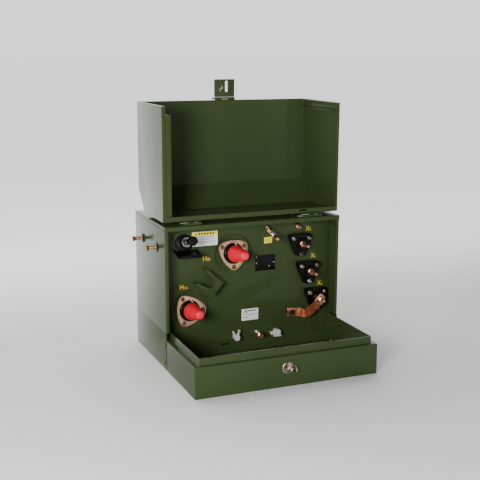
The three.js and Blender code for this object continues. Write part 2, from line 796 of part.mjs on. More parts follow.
function levelPlug(group) {
  const plug = joined(
    barZ(LEVEL_PLUG.r, -12, 4),
    turned([[0, 3], [13, 3], [13, 17], [11, 21], [0, 21]], 6),
    barZ(5, 20, 42, 12),
  );
  add(group, "level_plug", plug, brass);
}

function drainPlug(group) {
  const plug = joined(
    barZ(DRAIN.r, -12, 6),
    barZ(11, 5.5, 24, 20),
    turned([[0, 22], [14, 22], [14, 38], [0, 38]], 6),
    turned([[0, 37], [9, 37], [9, 52], [6, 55], [0, 55]], 20),
    barZ(6, 8, 14, 12).translate(-12, 13, 0),
    bar([0, 0, 11], [-12, 13, 11], 3, 10),
  );
  add(group, "drain_plug", plug, brass);
}

// A tinned vise connector: a boss with a wire slot, and a clamp screw across it.
function connectorBody(hasBar) {
  const pieces = [
    barZ(9, GAP, 16, 16),
    barZ(14, 12, 40, 24),
    bar([-15, 17, 12], [-9, 4, 20], 4, 10),
  ];
  if (hasBar) {
    pieces.push(bar([-17, -18, 32], [-17, 18, 32], 5, 12));
  }
  return cut(joined(...pieces), barZ(6, 26, 60, 16), bar([0, 0, 33], [0, 40, 33], 5 + GAP));
}

function connectorScrew() {
  return joined(bar([0, 7.5, 33], [0, 30, 33], 4.6, 14), bar([0, 28, 33], [0, 37, 33], 6.4, 6));
}

function dripGuard() {
  const wedge = prismX([[99.7, 492], [22, 474], [22, 471], [99.7, 489]], -336, -238);
  const left = prismX([[99.7, 500], [22, 486], [22, 471], [99.7, 489]], -338, -334);
  const right = prismX([[99.7, 500], [22, 486], [22, 471], [99.7, 489]], -239, -235);
  const front = prismX([[26, 486], [22, 487], [22, 471], [26, 472]], -338, -235);
  const back = prismX([[99.7, 503], [96, 503], [96, 488], [99.7, 489]], -338, -235);
  const clearance = barZ(38, -20, 16, 28).applyMatrix4(plateMatrix(FUSE_X, FUSE_Z, FUSE_TILT));
  return cut(joined(wedge, left, right, front, back), clearance);
}

// ---------------------------------------------------------------- bay-o-net fuse
function fuseHousing() {
  const place = plateMatrix(FUSE_X, FUSE_Z, FUSE_TILT);
  const flange = common(
    barZ(37, -20, 14, 32).applyMatrix4(place),
    box(-HALF, 0, 0, PLATE_Y - GAP, 0, TANK_HEIGHT),
  );
  const tube = joined(
    barZ(FUSE_TUBE_R, -190, 40, 20),
    turned([[0, 34], [22.5, 34], [22.5, 41], [0, 41]], 20),
  ).applyMatrix4(place);
  const bore = barZ(13, -182, 60, 18).applyMatrix4(place);
  return cut(joined(flange, tube), bore);
}

function fuseParts(group) {
  const holder = joined(barZ(11.5, -175, -20, 16), barZ(8, -25, 62, 16));
  add(group, "fuse_holder", holder, blackPlastic);
  const angle = THREE.MathUtils.degToRad(43);
  const reach = 17;
  const lug = [reach * Math.cos(angle), reach * Math.sin(angle)];
  const handle = joined(
    turned([[8.4, 46], [12, 46], [12, 60], [11, 112], [8.4, 112], [8.4, 46]], 20),
    bar([lug[0], lug[1], 51], [lug[0] * 0.6, lug[1] * 0.6, 51], 4, 10),
    bar([-lug[0], -lug[1], 51], [-lug[0] * 0.6, -lug[1] * 0.6, 51], 4, 10),
    turned([[0, 110], [19, 110], [20, 114], [20, 130], [16, 136], [0, 137]], 20),
    barZ(11.5, 66, 112, 20),
    bar([6, -15, 124], [8, -24, 126], 3, 10),
  );
  add(group, "fuse_handle", handle, blackPlastic);
}

// ---------------------------------------------------------------- core and coil
function core() {
  const y = [285, 375];
  const frame = box(-170, 170, ...y, 74, 410);
  const windowLeft = box(-125, -35, 200, 450, 124, 360);
  const windowRight = box(35, 125, 200, 450, 124, 360);
  return cut(frame, windowLeft, windowRight);
}

function coil() {
  const ring = (margin, z0, z1) => {
    const shape = new THREE.Shape();
    const [x, y, r] = [35 + margin, 45 + margin, 8 + margin];
    shape.moveTo(-x + r, -y);
    shape.lineTo(x - r, -y);
    shape.absarc(x - r, -y + r, r, -Math.PI / 2, 0, false);
    shape.absarc(x - r, y - r, r, 0, Math.PI / 2, false);
    shape.absarc(-x + r, y - r, r, Math.PI / 2, Math.PI, false);
    shape.absarc(-x + r, -y + r, r, Math.PI, 1.5 * Math.PI, false);
    return extrude(shape, z1 - z0, 5).translate(0, 330, z0);
  };
  return cut(ring(56, 132, 352), box(-36, 36, 284, 376, 100, 400));
}

function coreBase() {
  const foot = box(-190, 190, 270, 390, FLOOR_Z + 2 + GAP, 73.7);
  return cut(foot, box(-200, 200, 282, 378, FLOOR_Z + 10, 66));
}

function coreYoke() {
  return joined(box(-190, 190, 278, 382, 410.3, 424), box(-30, 30, 300, 360, 423, 440));
}

// ---------------------------------------------------------------- assembly
const transformer = new THREE.Group();
const unit = new THREE.Group();
unit.position.y = FLANGE_Y;
transformer.add(unit);

add(unit, "tank_wrapper", tankWrapper(), greenPaint);
add(unit, "tank_cover", tankCover(), greenPaint);
add(unit, "tank_floor", box(-INNER + GAP, INNER - GAP, 103.3, 436.7, FLOOR_Z - 2, FLOOR_Z + 2), greenPaint);
add(unit, "front_plate", frontPlate(), greenPaint);
add(unit, "base_skirt", baseSkirt(), greenPaint);
add(unit, "sill_shell", sillShell(), greenPaint);
for (const [sideName, side] of [["left", -1], ["right", 1]]) {
  for (const [rowName, y] of Object.entries(LIFT_BOLT_Y)) {
    add(unit, `lift_bolt_${rowName}_${sideName}`, liftBolt(side, y), yellowZinc);
  }
}

for (const [name, x, z, geometry] of [
  ["lock_cup", LOCK_X, LOCK_Z, lockCup()],
  ["lock_nut", LOCK_X, LOCK_Z, lockNut()],
  ["padlock_eye", EYE_X, EYE_Z, padlockEye()],
]) {
  const place = new THREE.Group();
  place.position.set(x, -SILL_DEPTH, z);
  place.rotation.x = Math.PI / 2;
  unit.add(place);
  add(place, name, geometry, steel);
}

const hood = new THREE.Group();
hood.position.set(0, HINGE_Y, HINGE_Z);
hood.rotation.x = Math.PI;
unit.add(hood);
const closed = new THREE.Group();
closed.position.set(0, -HINGE_Y, -HINGE_Z);
hood.add(closed);
add(closed, "hood_shell", hoodShell(), greenPaint);
add(closed, "hood_stop_left", stopAngle(-1), greenPaint);
add(closed, "hood_stop_right", stopAngle(1), greenPaint);
add(closed, "hasp_leaf", haspLeaf(), greenPaint);
add(closed, "hasp_plate", haspPlate(), greenPaint);
add(closed, "penta_bolt", pentaBolt(), steel);

for (const [sideName, side] of [["left", -1], ["right", 1]]) {
  const hinge = new THREE.Group();
  hinge.position.set(side * HINGE_CENTRE_X, HINGE_Y, HINGE_Z);
  unit.add(hinge);
  add(hinge, `hinge_tank_leaf_${sideName}`, tankLeaf(), greenPaint);
  const folded = new THREE.Group();
  folded.rotation.x = Math.PI;
  hinge.add(folded);
  add(folded, `hinge_hood_leaf_${sideName}`, hoodLeaf(), greenPaint);
}
add(unit, "lip_clip", lipClip(), greenPaint);

for (const [label, [x, z, turn]] of Object.entries(HV_PLACES)) {
  const bushing = plateGroup(unit, x, z, HV_TILT);
  const turnedGroup = new THREE.Group();
  turnedGroup.rotation.z = turn;
  bushing.add(turnedGroup);
  add(turnedGroup, `hv_well_${label}`, hvWell(), blackEpoxy);
  add(turnedGroup, `hv_clamp_${label}`, hvClamp(), yellowZinc);
  add(turnedGroup, `hv_cap_${label}`, hvCap(), redCap);
}

for (const [label, [x, z]] of Object.entries(LV_PLACES)) {
  const bushing = plateGroup(unit, x, z);
  add(bushing, `lv_block_${label}`, lvBlock(), blackEpoxy);
  add(bushing, `lv_stud_${label}`, lvStud(), copper);
}
add(unit, "ground_strap", groundStrap(LV_PLACES.x2), copper);
add(unit, "ground_pad", groundPad(), steel);
add(unit, "ground_bolt", groundBolt(), steel);

const parking = plateGroup(unit, PARKING.x, PARKING.z);
const parkingTurn = new THREE.Group();
parkingTurn.rotation.z = PARKING.turn;
parking.add(parkingTurn);
add(parkingTurn, "parking_stand", parkingStand(), greenPaint);
add(unit, "nameplate", nameplate(), blackPlastic);
add(unit, "caution_label", box(-253, -136, PLATE_Y - 1.2, PLATE_Y - GAP, 504, 567), labelStock);
add(unit, "data_label", box(-21, 59, PLATE_Y - 1.2, PLATE_Y - GAP, 147, 200), labelStock);

reliefValve(plateGroup(unit, RELIEF.x, RELIEF.z, RELIEF.tilt));
levelPlug(plateGroup(unit, LEVEL_PLUG.x, LEVEL_PLUG.z));
drainPlug(plateGroup(unit, DRAIN.x, DRAIN.z));
for (const [sideName, place] of [["left", CONNECTOR_LEFT], ["right", CONNECTOR_RIGHT]]) {
  const connector = plateGroup(unit, place.x, place.z);
  const turnedGroup = new THREE.Group();
  turnedGroup.rotation.z = place.turn;
  connector.add(turnedGroup);
  add(turnedGroup, `connector_${sideName}`, connectorBody(sideName === "right"), tin);
  add(turnedGroup, `connector_screw_${sideName}`, connectorScrew(), tin);
}

add(unit, "fuse_housing", fuseHousing(), blackPlastic);
fuseParts(plateGroup(unit, FUSE_X, FUSE_Z, FUSE_TILT));
add(unit, "drip_guard", dripGuard(), blackPlastic);

add(unit, "core", core(), coreSteel);
add(unit, "coil", coil(), coilPaper);
add(unit, "core_base", coreBase(), coreSteel);
add(unit, "core_yoke", coreYoke(), coreSteel);

export default transformer;
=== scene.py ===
"""Looks for the pad-mounted transformer: bent sheet metal, bushings, fittings, paint and light.

Lengths are millimetres in the "unit" frame (y = 0 at the tank's front flange, z = 0 on the ground)
until a matrix carries them into the row frame in metres. The hood's pieces are drawn closed.
Profiles are pairs of radius and height along a piece's own axis.
"""

from math import cos, exp, pi, radians, sin, sqrt

import bmesh
import bpy
from mathutils import Matrix, Vector


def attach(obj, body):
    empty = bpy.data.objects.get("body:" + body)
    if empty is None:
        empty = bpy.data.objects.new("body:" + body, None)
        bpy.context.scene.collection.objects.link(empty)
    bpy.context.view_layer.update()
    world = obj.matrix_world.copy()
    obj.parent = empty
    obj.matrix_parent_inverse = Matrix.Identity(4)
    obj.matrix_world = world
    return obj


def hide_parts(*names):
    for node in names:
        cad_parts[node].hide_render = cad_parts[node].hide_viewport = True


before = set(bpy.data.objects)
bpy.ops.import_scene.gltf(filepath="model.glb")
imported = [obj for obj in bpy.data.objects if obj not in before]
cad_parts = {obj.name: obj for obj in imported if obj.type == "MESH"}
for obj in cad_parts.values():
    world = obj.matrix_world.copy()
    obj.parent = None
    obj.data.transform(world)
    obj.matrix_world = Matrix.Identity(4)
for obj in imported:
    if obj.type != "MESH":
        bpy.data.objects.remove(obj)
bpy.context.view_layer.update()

MM = 0.001
SHIFT = -25
SIDES = {"left": -1, "right": 1}
SHEET = 3
GAP = 0.3
BEND = 4.0
SHARP_ANGLE = 32
GRAIN = 400.0
THREAD_DEPTH = 0.8
FINE = 72

# tank and front plate
WIDTH = 812
HALF = WIDTH / 2
INNER = HALF - SHEET
TANK_DEPTH = 440
TANK_HEIGHT = 616
FLANGE_DROP = 18
FLANGE_WIDTH = 14
PLATE_Y = 100
CHANNEL_LOW, CHANNEL_HIGH, CHANNEL_DEPTH = 172, 566, 11
SKIRT_SLOT = ((-121, 96.4, 46.6), (-85, 99.4, 53.4))
SEAM_STUDS = ((-264, 60), (326, 63))
LIFT_Z = 513
LIFT_Y = {"front": 111, "rear": 317}
LIFT_BOSS_R, LIFT_BOSS_REACH = 19.4, 5

# sill and lock
SILL_DEPTH = 360
SILL_HEIGHT = 130
SILL_REVEAL = 9
SILL_BOLTS = ((20, 105), (26, 28))
TAB_REACH = 50
LIP_HEIGHT, LIP_SIDE, LIP_FRONT = 31, 23.5, 14
LOCK_X, LOCK_Z = -9.5, 81
EYE_X, EYE_Z, EYE_REACH, EYE_HALF = 18.5, 75, 30, 12

# hood, hinges and hasp
HOOD_REAR, HOOD_FRONT = -3, -358
HOOD_BOTTOM, HOOD_TOP = 134, 613
BACK_LIP = 22
CHAMFER_RUN, CHAMFER_DROP = 90, 100
FLANGE_STEP = 170
STOP_TOP, STOP_LOW = 174, 152
HINGE_Y, HINGE_Z = 10, 622
HINGE_CENTRE_X, HINGE_LENGTH = 282, 82
KNUCKLE_R = 5.5
CLIP_X0, CLIP_X1 = 212, 239
HASP_X0, HASP_X1, HASP_Y, HASP_TIP, HASP_TOP = -40, 57, -369, 42, 121.5
PIVOT_Y, PIVOT_Z, PIVOT_R = -364.8, 126.5, 4.2

# bushings and strap
HV_TILT = radians(7)
HV_PLACES = {"a": (-266, 221, 0), "b": (-62, 460, -pi / 2)}
HV_FLOOR = -11
HV_POCKET_R = 88
CLAMP_CORNER, CLAMP_BORE, CLAMP_STUDS_AT = 80, 46, 60
LV_PLACES = {"x3": (257, 484), "x1": (299, 354), "x2": (341, 226)}
LV_BOLTS = ((-38, 25), (38, 25), (0, -46))
PAD_X, PAD_Z, PAD_SIZE = 221, 165, 44
STRAP_LEAVES, STRAP_HALF, STRAP_LEAF_HALF = 7, 18.6, 0.34
STRAP_PITCH, STRAP_FAN = 0.72, 1.9
STRAP_BEND_AT = 0.46
STRAP_BEND_SPREAD = 0.11
STRAP_RIDGE = 1.6
STRAP_RIDGES = 17
STRAP_SLANT = 5
STRAP_PAD_HALF = 2.9

# plate fittings
STAND_X, STAND_Z, STAND_TURN = -185, 346, radians(-38)
FUSE_X, FUSE_Z, FUSE_TILT = -291, 524, radians(15)
RELIEF_X, RELIEF_Z, RELIEF_TILT = 100, 561, radians(-15)
PLUG_X, PLUG_Z = 244, 562
DRAIN_X, DRAIN_Z = 58, 81
CONNECTORS = {"left": (-56, 82, radians(-18)), "right": (142, 86, radians(88))}
MARKS = {
    "H1B": (-205, 437), "H1A": (-311, 318),
    "X3": (290, 535), "X1": (317, 408), "X2": (354, 276),
}
# each line of small print: x from, x to, top, rows, pitch, height, seed
CAUTION_PRINT = (
    (-232, -148, 538, 2, 5, 1.6, 3),
    (-232, -148, 525, 2, 5, 1.6, 5),
    (-222, -190, 513, 1, 5, 2.4, 4),
)
DATA_PRINT = (
    (-9, 52, 194, 1, 6, 6, 1),
    (-15, -4, 184, 1, 6, 3, 6),
    (-2, 10, 185, 1, 6, 4, 3),
    (-15, 52, 175, 1, 8, 2.6, 6),
    (-13, 14, 163, 1, 8, 3.4, 9),
)
NAMEPLATE_RIVETS = ((49, 433), (49, 405), (133, 405), (111, 389))
# how far the print and the marks stand out of the plate, from and to
PRINT_DEPTH = (1.15, 1.5)
BAND_DEPTH = (1.1, 1.5)
MARK_DEPTH = (1.4, 1.8)

# camera, floor, sky and lamps, in metres and degrees
LENS, SENSOR = 68.0, 36
CAMERA_AT = (-1.513, -3.494 + SHIFT * MM, 1.337)
AZIMUTH, ELEVATION, ROLL = -22.42, 11.91, 0.23
FLOOR_HALF = 90000
FLOOR_GLOW = 0.75
HORIZON = 1.42
SKY_FRONT, SKY_BACK = 0.06, 2.0
LAMPS = (
    ("key", (-2.4, -3.0, 1.3), (0, 0, 0.4), 1.0, 150),
    ("fill", (0.3, -3.8, 0.9), (0, 0, 0.2), 2.0, 8),
    ("top", (-0.2, 2.6, 3.2), (0, 0.1, 0.3), 2.0, 40),
)



def shift(x, y, z):
    return Matrix.Translation((x, y, z))


def spin(axis, angle):
    return Matrix.Rotation(angle, 4, axis)


UNIT = Matrix.Scale(MM, 4) @ shift(0, SHIFT, 0)
SWING = shift(0, HINGE_Y, HINGE_Z) @ spin("X", pi) @ shift(0, -HINGE_Y, -HINGE_Z)
HOOD = UNIT @ SWING
ON_HOOD = {"at": HOOD, "body": "hood"}
STILL = Matrix.Identity(4)
FLAT = spin("X", pi / 2)


def on_plate(x, z, tilt=0.0, turn=0.0):
    """Local +Z points out of the front plate, raised by the tilt."""
    return UNIT @ shift(x, PLATE_Y, z) @ spin("X", pi / 2 - tilt) @ spin("Z", turn)


def facing(point, direction):
    """Local +Z runs along a direction from a point, in unit millimetres."""
    turn = Vector(direction).to_track_quat("Z", "Y").to_matrix().to_4x4()
    return Matrix.Translation(point) @ turn


# ---- materials
def new_material(name):
    material = bpy.data.materials.new(name)
    material.use_nodes = True
    tree = material.node_tree
    return material, tree, tree.nodes["Principled BSDF"]


def preset(node, values):
    for label, value in values.items():
        node.inputs[label].default_value = value


def noise(tree, scale, detail=3.0):
    coords = tree.nodes.new("ShaderNodeTexCoord")
    texture = tree.nodes.new("ShaderNodeTexNoise")
    preset(texture, {"Scale": scale, "Detail": detail})
    tree.links.new(coords.outputs["Object"], texture.inputs["Vector"])
    return texture.outputs["Fac"]


def ramp(tree, source, stops):
    node = tree.nodes.new("ShaderNodeValToRGB")
    elements = node.color_ramp.elements
    while len(elements) < len(stops):
        elements.new(0.5)
    for element, (position, colour) in zip(elements, stops):
        element.position = position
        element.color = (*colour, 1)
    tree.links.new(source, node.inputs["Fac"])
    return node.outputs["Color"]


def remap(tree, source, given, wanted, smooth=False):
    """Carries a value from one range to another."""
    node = tree.nodes.new("ShaderNodeMapRange")
    if smooth:
        node.interpolation_type = "SMOOTHSTEP"
    preset(node, {"From Min": given[0], "From Max": given[1]})
    preset(node, {"To Min": wanted[0], "To Max": wanted[1]})
    tree.links.new(source, node.inputs["Value"])
    return node.outputs["Result"]


def surface(name, stops, rough, metallic=0.0, scale=8.0, bump=0.02, coat=0.0, specular=0.5):
    material, tree, shader = new_material(name)
    broad = noise(tree, scale)
    tree.links.new(ramp(tree, broad, stops), shader.inputs["Base Color"])
    tree.links.new(remap(tree, broad, (0.3, 0.7), rough), shader.inputs["Roughness"])
    relief = tree.nodes.new("ShaderNodeBump")
    preset(relief, {"Strength": bump, "Distance": MM})
    tree.links.new(noise(tree, GRAIN, 2.0), relief.inputs["Height"])
    tree.links.new(relief.outputs["Normal"], shader.inputs["Normal"])
    preset(shader, {"Metallic": metallic, "Specular IOR Level": specular})
    preset(shader, {"Coat Weight": coat, "Coat Roughness": 0.07, "Coat IOR": 1.18})
    return material


def two_tone(name, dark, light, rough, **rest):
    return surface(name, ((0.35, dark), (0.65, light)), rough, **rest)


GREEN = two_tone(
    "green paint", (0.036, 0.056, 0.018), (0.042, 0.065, 0.021), (0.36, 0.44),
    scale=3.0, bump=0.03, coat=1.0, specular=0.06,
)
ZINC = surface(
    "yellow zinc",
    (
        (0.34, (0.78, 0.4, 0.36)),
        (0.44, (0.84, 0.5, 0.42)),
        (0.52, (0.85, 0.6, 0.28)),
        (0.6, (0.8, 0.48, 0.42)),
        (0.7, (0.7, 0.66, 0.4)),
    ),
    (0.22, 0.34), metallic=0.75, scale=14.0,
)
# dark zinc for bolts and nuts; on the ground pad this darkness is painted shade
DULL_ZINC_AND_SHADE = surface(
    "dull zinc and painted shade",
    (
        (0.34, (0.12, 0.07, 0.035)),
        (0.5, (0.36, 0.24, 0.11)),
        (0.62, (0.2, 0.13, 0.07)),
        (0.7, (0.5, 0.4, 0.24)),
    ),
    (0.3, 0.5), metallic=1.0, scale=50.0,
)
STEEL = two_tone(
    "bright steel", (0.62, 0.61, 0.58), (0.8, 0.79, 0.77), (0.22, 0.4), metallic=1.0, scale=40.0
)
WORN = surface(
    "worn steel",
    ((0.36, (0.1, 0.06, 0.045)), (0.5, (0.5, 0.44, 0.38)), (0.62, (0.66, 0.62, 0.56))),
    (0.25, 0.45), metallic=1.0, scale=45.0,
)
TIN = two_tone(
    "tinned bronze", (0.8, 0.8, 0.78), (0.92, 0.92, 0.9), (0.22, 0.38), metallic=0.45, scale=60.0
)
BRASS = two_tone(
    "brass", (0.62, 0.42, 0.15), (0.84, 0.62, 0.3), (0.2, 0.36), metallic=1.0, scale=60.0
)
# black for the ground bolt; on the lifting bosses this black is painted shade
BLACK_STEEL_AND_SHADE = two_tone(
    "blackened steel and painted shade", (0.012, 0.012, 0.011), (0.035, 0.034, 0.03), (0.3, 0.45),
    metallic=0.6, scale=60.0,
)
COPPER = two_tone(
    "copper", (0.7, 0.3, 0.17), (0.9, 0.5, 0.34), (0.24, 0.4), metallic=1.0, scale=50.0
)
# the darker of the strap's two coppers; the lighter one on every other leaf is a painted highlight
STRAP = two_tone(
    "copper foil", (0.5, 0.13, 0.055), (0.72, 0.24, 0.12), (0.3, 0.45), metallic=0.85, scale=70.0
)
RED = two_tone("red rubber", (0.92, 0.008, 0.03), (0.97, 0.012, 0.04), (0.38, 0.5), scale=12.0)
EPOXY = two_tone(
    "black epoxy", (0.003, 0.003, 0.003), (0.006, 0.006, 0.006), (0.22, 0.34),
    scale=30.0, specular=0.12,
)
PLASTIC = two_tone(
    "black plastic", (0.004, 0.004, 0.004), (0.008, 0.008, 0.008), (0.26, 0.38),
    scale=25.0, specular=0.18,
)
CARD = two_tone("white label", (0.93, 0.93, 0.95), (0.97, 0.97, 0.98), (0.4, 0.5), scale=10.0)
YELLOW = two_tone("yellow label", (0.95, 0.84, 0.003), (0.98, 0.88, 0.006), (0.4, 0.5), scale=10.0)
INK = two_tone("grey ink", (0.05, 0.05, 0.09), (0.1, 0.1, 0.14), (0.5, 0.6))
STENCIL = two_tone("stencil paint", (0.8, 0.48, 0.02), (0.92, 0.58, 0.03), (0.5, 0.6), scale=60.0)
CORE = two_tone(
    "core steel", (0.08, 0.08, 0.09), (0.16, 0.16, 0.17), (0.4, 0.6), metallic=0.8, scale=60.0
)
PAPER = two_tone(
    "coil paper", (0.3, 0.17, 0.07), (0.42, 0.26, 0.12), (0.7, 0.85), scale=30.0, bump=0.2
)

# the record's slot for each material that isn't named after its slot
SLOTS = {
    "dull zinc and painted shade": "yellow_zinc",
    "bright steel": "bare_steel",
    "worn steel": "bare_steel",
    "blackened steel and painted shade": "bare_steel",
    "copper foil": "copper",
    "red rubber": "red_cap",
    "white label": "label_stock",
    "yellow label": "label_stock",
    "grey ink": "label_stock",
    "stencil paint": "label_stock",
}


# ---- mesh helpers
# the forms below draw into the canvas; build() takes what was drawn and clears it
canvas = bmesh.new()


def absorb(part, matrix=STILL):
    """Adds a form, placed by a matrix, to the piece being drawn."""
    part.transform(matrix)
    bmesh.ops.recalc_face_normals(part, faces=part.faces)
    holder = bpy.data.meshes.new("part")
    part.to_mesh(holder)
    part.free()
    canvas.from_mesh(holder)
    bpy.data.meshes.remove(holder)


def soften(part, edges, width, segments=2):
    if width > 0:
        bmesh.ops.bevel(
            part, geom=edges, offset=width, segments=segments, profile=0.5,
            affect="EDGES", clamp_overlap=True,
        )


def prism(outline, z0, z1, matrix=STILL, edge=0.0):
    part = bmesh.new()
    low = [part.verts.new((x, y, z0)) for x, y in outline]
    high = [part.verts.new((x, y, z1)) for x, y in outline]
    caps = [part.faces.new(low[::-1]), part.faces.new(high)]
    for i in range(len(outline)):
        j = (i + 1) % len(outline)
        part.faces.new((low[i], low[j], high[j], high[i]))
    soften(part, [e for face in caps for e in face.edges], edge)
    absorb(part, matrix)


def block(low, high, matrix=STILL, edge=0.6):
    part = bmesh.new()
    centre = (Vector(low) + Vector(high)) / 2
    size = Vector(high) - Vector(low)
    place = Matrix.Translation(centre) @ Matrix.Diagonal((*size, 1))
    bmesh.ops.create_cube(part, size=1, matrix=place)
    soften(part, part.edges[:], edge)
    absorb(part, matrix)


def loft(rings, matrix=STILL, closed=False):
    """Joins rings of equal length; an end that isn't closed is capped."""
    part = bmesh.new()
    rows = [[part.verts.new(p) for p in ring] for ring in rings]
    pairs = list(zip(rows, rows[1:] + rows[:1] if closed else rows[1:]))
    for lower, upper in pairs:
        for i in range(len(lower)):
            j = (i + 1) % len(lower)
            part.faces.new((lower[i], lower[j], upper[j], upper[i]))
    if not closed:
        part.faces.new(rows[0][::-1])
        part.faces.new(rows[-1])
    absorb(part, matrix)


def circle(radius, z, count=48):
    angles = [2 * pi * i / count for i in range(count)]
    return [(radius * cos(a), radius * sin(a), z) for a in angles]


def lathe(profile, matrix=STILL, closed=False, count=48):
    loft([circle(max(r, 0.01), z, count) for r, z in profile], matrix, closed)


def rod(radius, z0, z1, matrix=STILL, edge=0.6, count=32):
    start = [(radius - edge, z0), (radius, z0 + edge)]
    lathe(start + [(radius, z1 - edge), (radius - edge, z1)], matrix, count=count)


def along_x(radius, x0, x1, y, z, matrix=STILL):
    rod(radius, 0, x1 - x0, matrix @ facing((x0, y, z), (1, 0, 0)), count=24)


def thread(radius, z0, z1, matrix=STILL, pitch=2.0):
    root = radius - THREAD_DEPTH
    profile = [(root, z0)]
    turns = max(1, round((z1 - z0) / pitch))
    step = (z1 - z0) / turns
    for i in range(turns):
        profile += [(radius, z0 + (i + 0.35) * step), (root, z0 + (i + 1) * step)]
    lathe(profile, matrix, count=24)


def hexagon(radius, z0, z1, matrix=STILL, sides=6):
    """A nut or bolt head whose corners are chamfered at both ends."""
    ends = ((0.9, z0), (1.0, z0 + 0.9), (1.0, z1 - 0.9), (0.9, z1))
    loft([circle(radius * scale, z, sides) for scale, z in ends], matrix)


def tube(points, radius, closed=False, sides=12):
    """A round bar swept along points with as little twist as possible."""
    path = [Vector(p) for p in points]
    count = len(path)
    rings = []
    normal = None
    for i, point in enumerate(path):
        before = path[i - 1] if closed or i else point
        after = path[(i + 1) % count] if closed or i + 1 < count else point
        along = (after - before).normalized()
        if normal is None:
            normal = along.orthogonal().normalized()
        normal = (normal - normal.dot(along) * along).normalized()
        side = along.cross(normal)
        ring = []
        for k in range(sides):
            angle = 2 * pi * k / sides
            ring.append(point + radius * (cos(angle) * normal + sin(angle) * side))
        rings.append(ring)
    loft(rings, closed=closed)


def smooth_path(controls, steps):
    """Points on a Catmull-Rom curve through the controls."""
    points = [Vector(c) for c in controls]
    ends = [2 * points[0] - points[1]] + points + [2 * points[-1] - points[-2]]
    found = []
    for a, b, c, d in zip(ends, ends[1:], ends[2:], ends[3:]):
        for k in range(steps):
            t = k / steps
            square = (2 * a - 5 * b + 4 * c - d) * t**2
            cube = (3 * b - a - 3 * c + d) * t**3
            found.append(0.5 * (2 * b + (c - a) * t + square + cube))
    return found + [points[-1]]


def rounded(points, radius, steps=5):
    """The outline with each corner cut back by the radius and bridged by a curve."""
    found = []
    for i, point in enumerate(points):
        corner = Vector(point)
        back = Vector(points[i - 1]) - corner
        ahead = Vector(points[(i + 1) % len(points)]) - corner
        start = corner + back.normalized() * min(radius, back.length / 2.1)
        end = corner + ahead.normalized() * min(radius, ahead.length / 2.1)
        for k in range(steps + 1):
            t = k / steps
            found.append(((1 - t) ** 2 * start + 2 * t * (1 - t) * corner + t**2 * end)[:])
    return found


def rectangle(x0, x1, y0, y1):
    return [(x0, y0), (x1, y0), (x1, y1), (x0, y1)]


def show(obj):
    bpy.context.scene.collection.objects.link(obj)


def shade(mesh):
    mesh.shade_smooth()
    mesh.set_sharp_from_angle(angle=radians(SHARP_ANGLE))


def settle(obj):
    """Applies the object's modifiers."""
    graph = bpy.context.evaluated_depsgraph_get()
    mesh = bpy.data.meshes.new_from_object(obj.evaluated_get(graph))
    obj.modifiers.clear()
    obj.data = mesh
    shade(mesh)


def build(name, material, matrix=UNIT, part=canvas):
    """Makes an object of the piece being drawn and clears the canvas for the next one."""
    name = name.replace(" ", "_")
    part.transform(matrix)
    mesh = bpy.data.meshes.new(name)
    part.to_mesh(mesh)
    part.clear()
    shade(mesh)
    mesh.materials.append(material)
    obj = bpy.data.objects.new(name, mesh)
    show(obj)
    return obj


def fit(obj, body, slot, *nodes):
    """Puts a finished piece on its body and hides the CAD nodes it stands for; its slot is not
    used.
    """
    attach(obj, body)
    if nodes:
        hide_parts(*nodes)


def add(name, material, *nodes, at=UNIT, body="tank", slot=None):
    """Ends the piece being drawn and fits it; its slot follows from its material."""
    paint = material.name.split(".")[0]  # without the number of a name the frame has too
    slot = slot or SLOTS.get(paint, paint.replace(" ", "_"))
    fit(build(name, material, at), body, slot, *nodes)


def carve(obj, cutters):
    for cutter in cutters:
        step = obj.modifiers.new("cut", "BOOLEAN")
        step.operation = "DIFFERENCE"
        step.solver = "EXACT"
        step.object = cutter
    bpy.context.view_layer.update()
    settle(obj)
    for cutter in cutters:
        bpy.data.objects.remove(cutter)


def box_cutter(matrix, low, high):
    block(low, high, edge=0)
    return build("cutter", GREEN, matrix)


def round_cutter(matrix, radius, z0, z1, count=32):
    rod(radius, z0, z1, edge=0, count=count)
    return build("cutter", GREEN, matrix)


def thicken(obj, thickness, offset, even):
    step = obj.modifiers.new("thickness", "SOLIDIFY")
    step.thickness = thickness * MM
    step.offset = offset
    step.use_even_offset = even
    settle(obj)


def sheet(name, faces, inside, matrix=UNIT, bend=BEND):
    """Sheet metal: faces share corners, and each shared edge is bent to a radius."""
    part = bmesh.new()
    known = {}
    for face in faces:
        verts = []
        for corner in face:
            key = tuple(round(c, 3) for c in corner)
            if key not in known:
                known[key] = part.verts.new(corner)
            verts.append(known[key])
        part.faces.new(verts)
    bmesh.ops.recalc_face_normals(part, faces=part.faces)
    first = part.faces[:][0]
    if (Vector(inside) - first.calc_center_median()).dot(first.normal) > 0:
        bmesh.ops.reverse_faces(part, faces=part.faces)
    folds = [e for e in part.edges if len(e.link_faces) == 2 and e.calc_face_angle() > 0.2]
    soften(part, folds, bend, 3)
    obj = build(name, GREEN, matrix, part)
    thicken(obj, SHEET, -1, True)
    return obj


# ---- tank
def tank_walls():
    low = SILL_HEIGHT + LIP_HEIGHT + 2
    high = TANK_HEIGHT - FLANGE_DROP - GAP
    levels = (0, low, high, TANK_HEIGHT - SHEET - GAP)
    faces = []
    for z0, z1 in zip(levels, levels[1:]):
        for side in (-1, 1):
            x = side * HALF
            faces.append([(x, 0, z0), (x, TANK_DEPTH, z0), (x, TANK_DEPTH, z1), (x, 0, z1)])
        faces.append([(x, TANK_DEPTH, z) for x, z in rectangle(-HALF, HALF, z0, z1)])
    for side in (-1, 1):
        edge = side * (HALF - FLANGE_WIDTH)
        x = side * HALF
        faces.append([(edge, 0, low), (x, 0, low), (x, 0, high), (edge, 0, high)])
    walls = sheet("tank walls", faces, (0, TANK_DEPTH / 2, 300))
    fit(walls, "tank", "green_paint", "tank_wrapper")


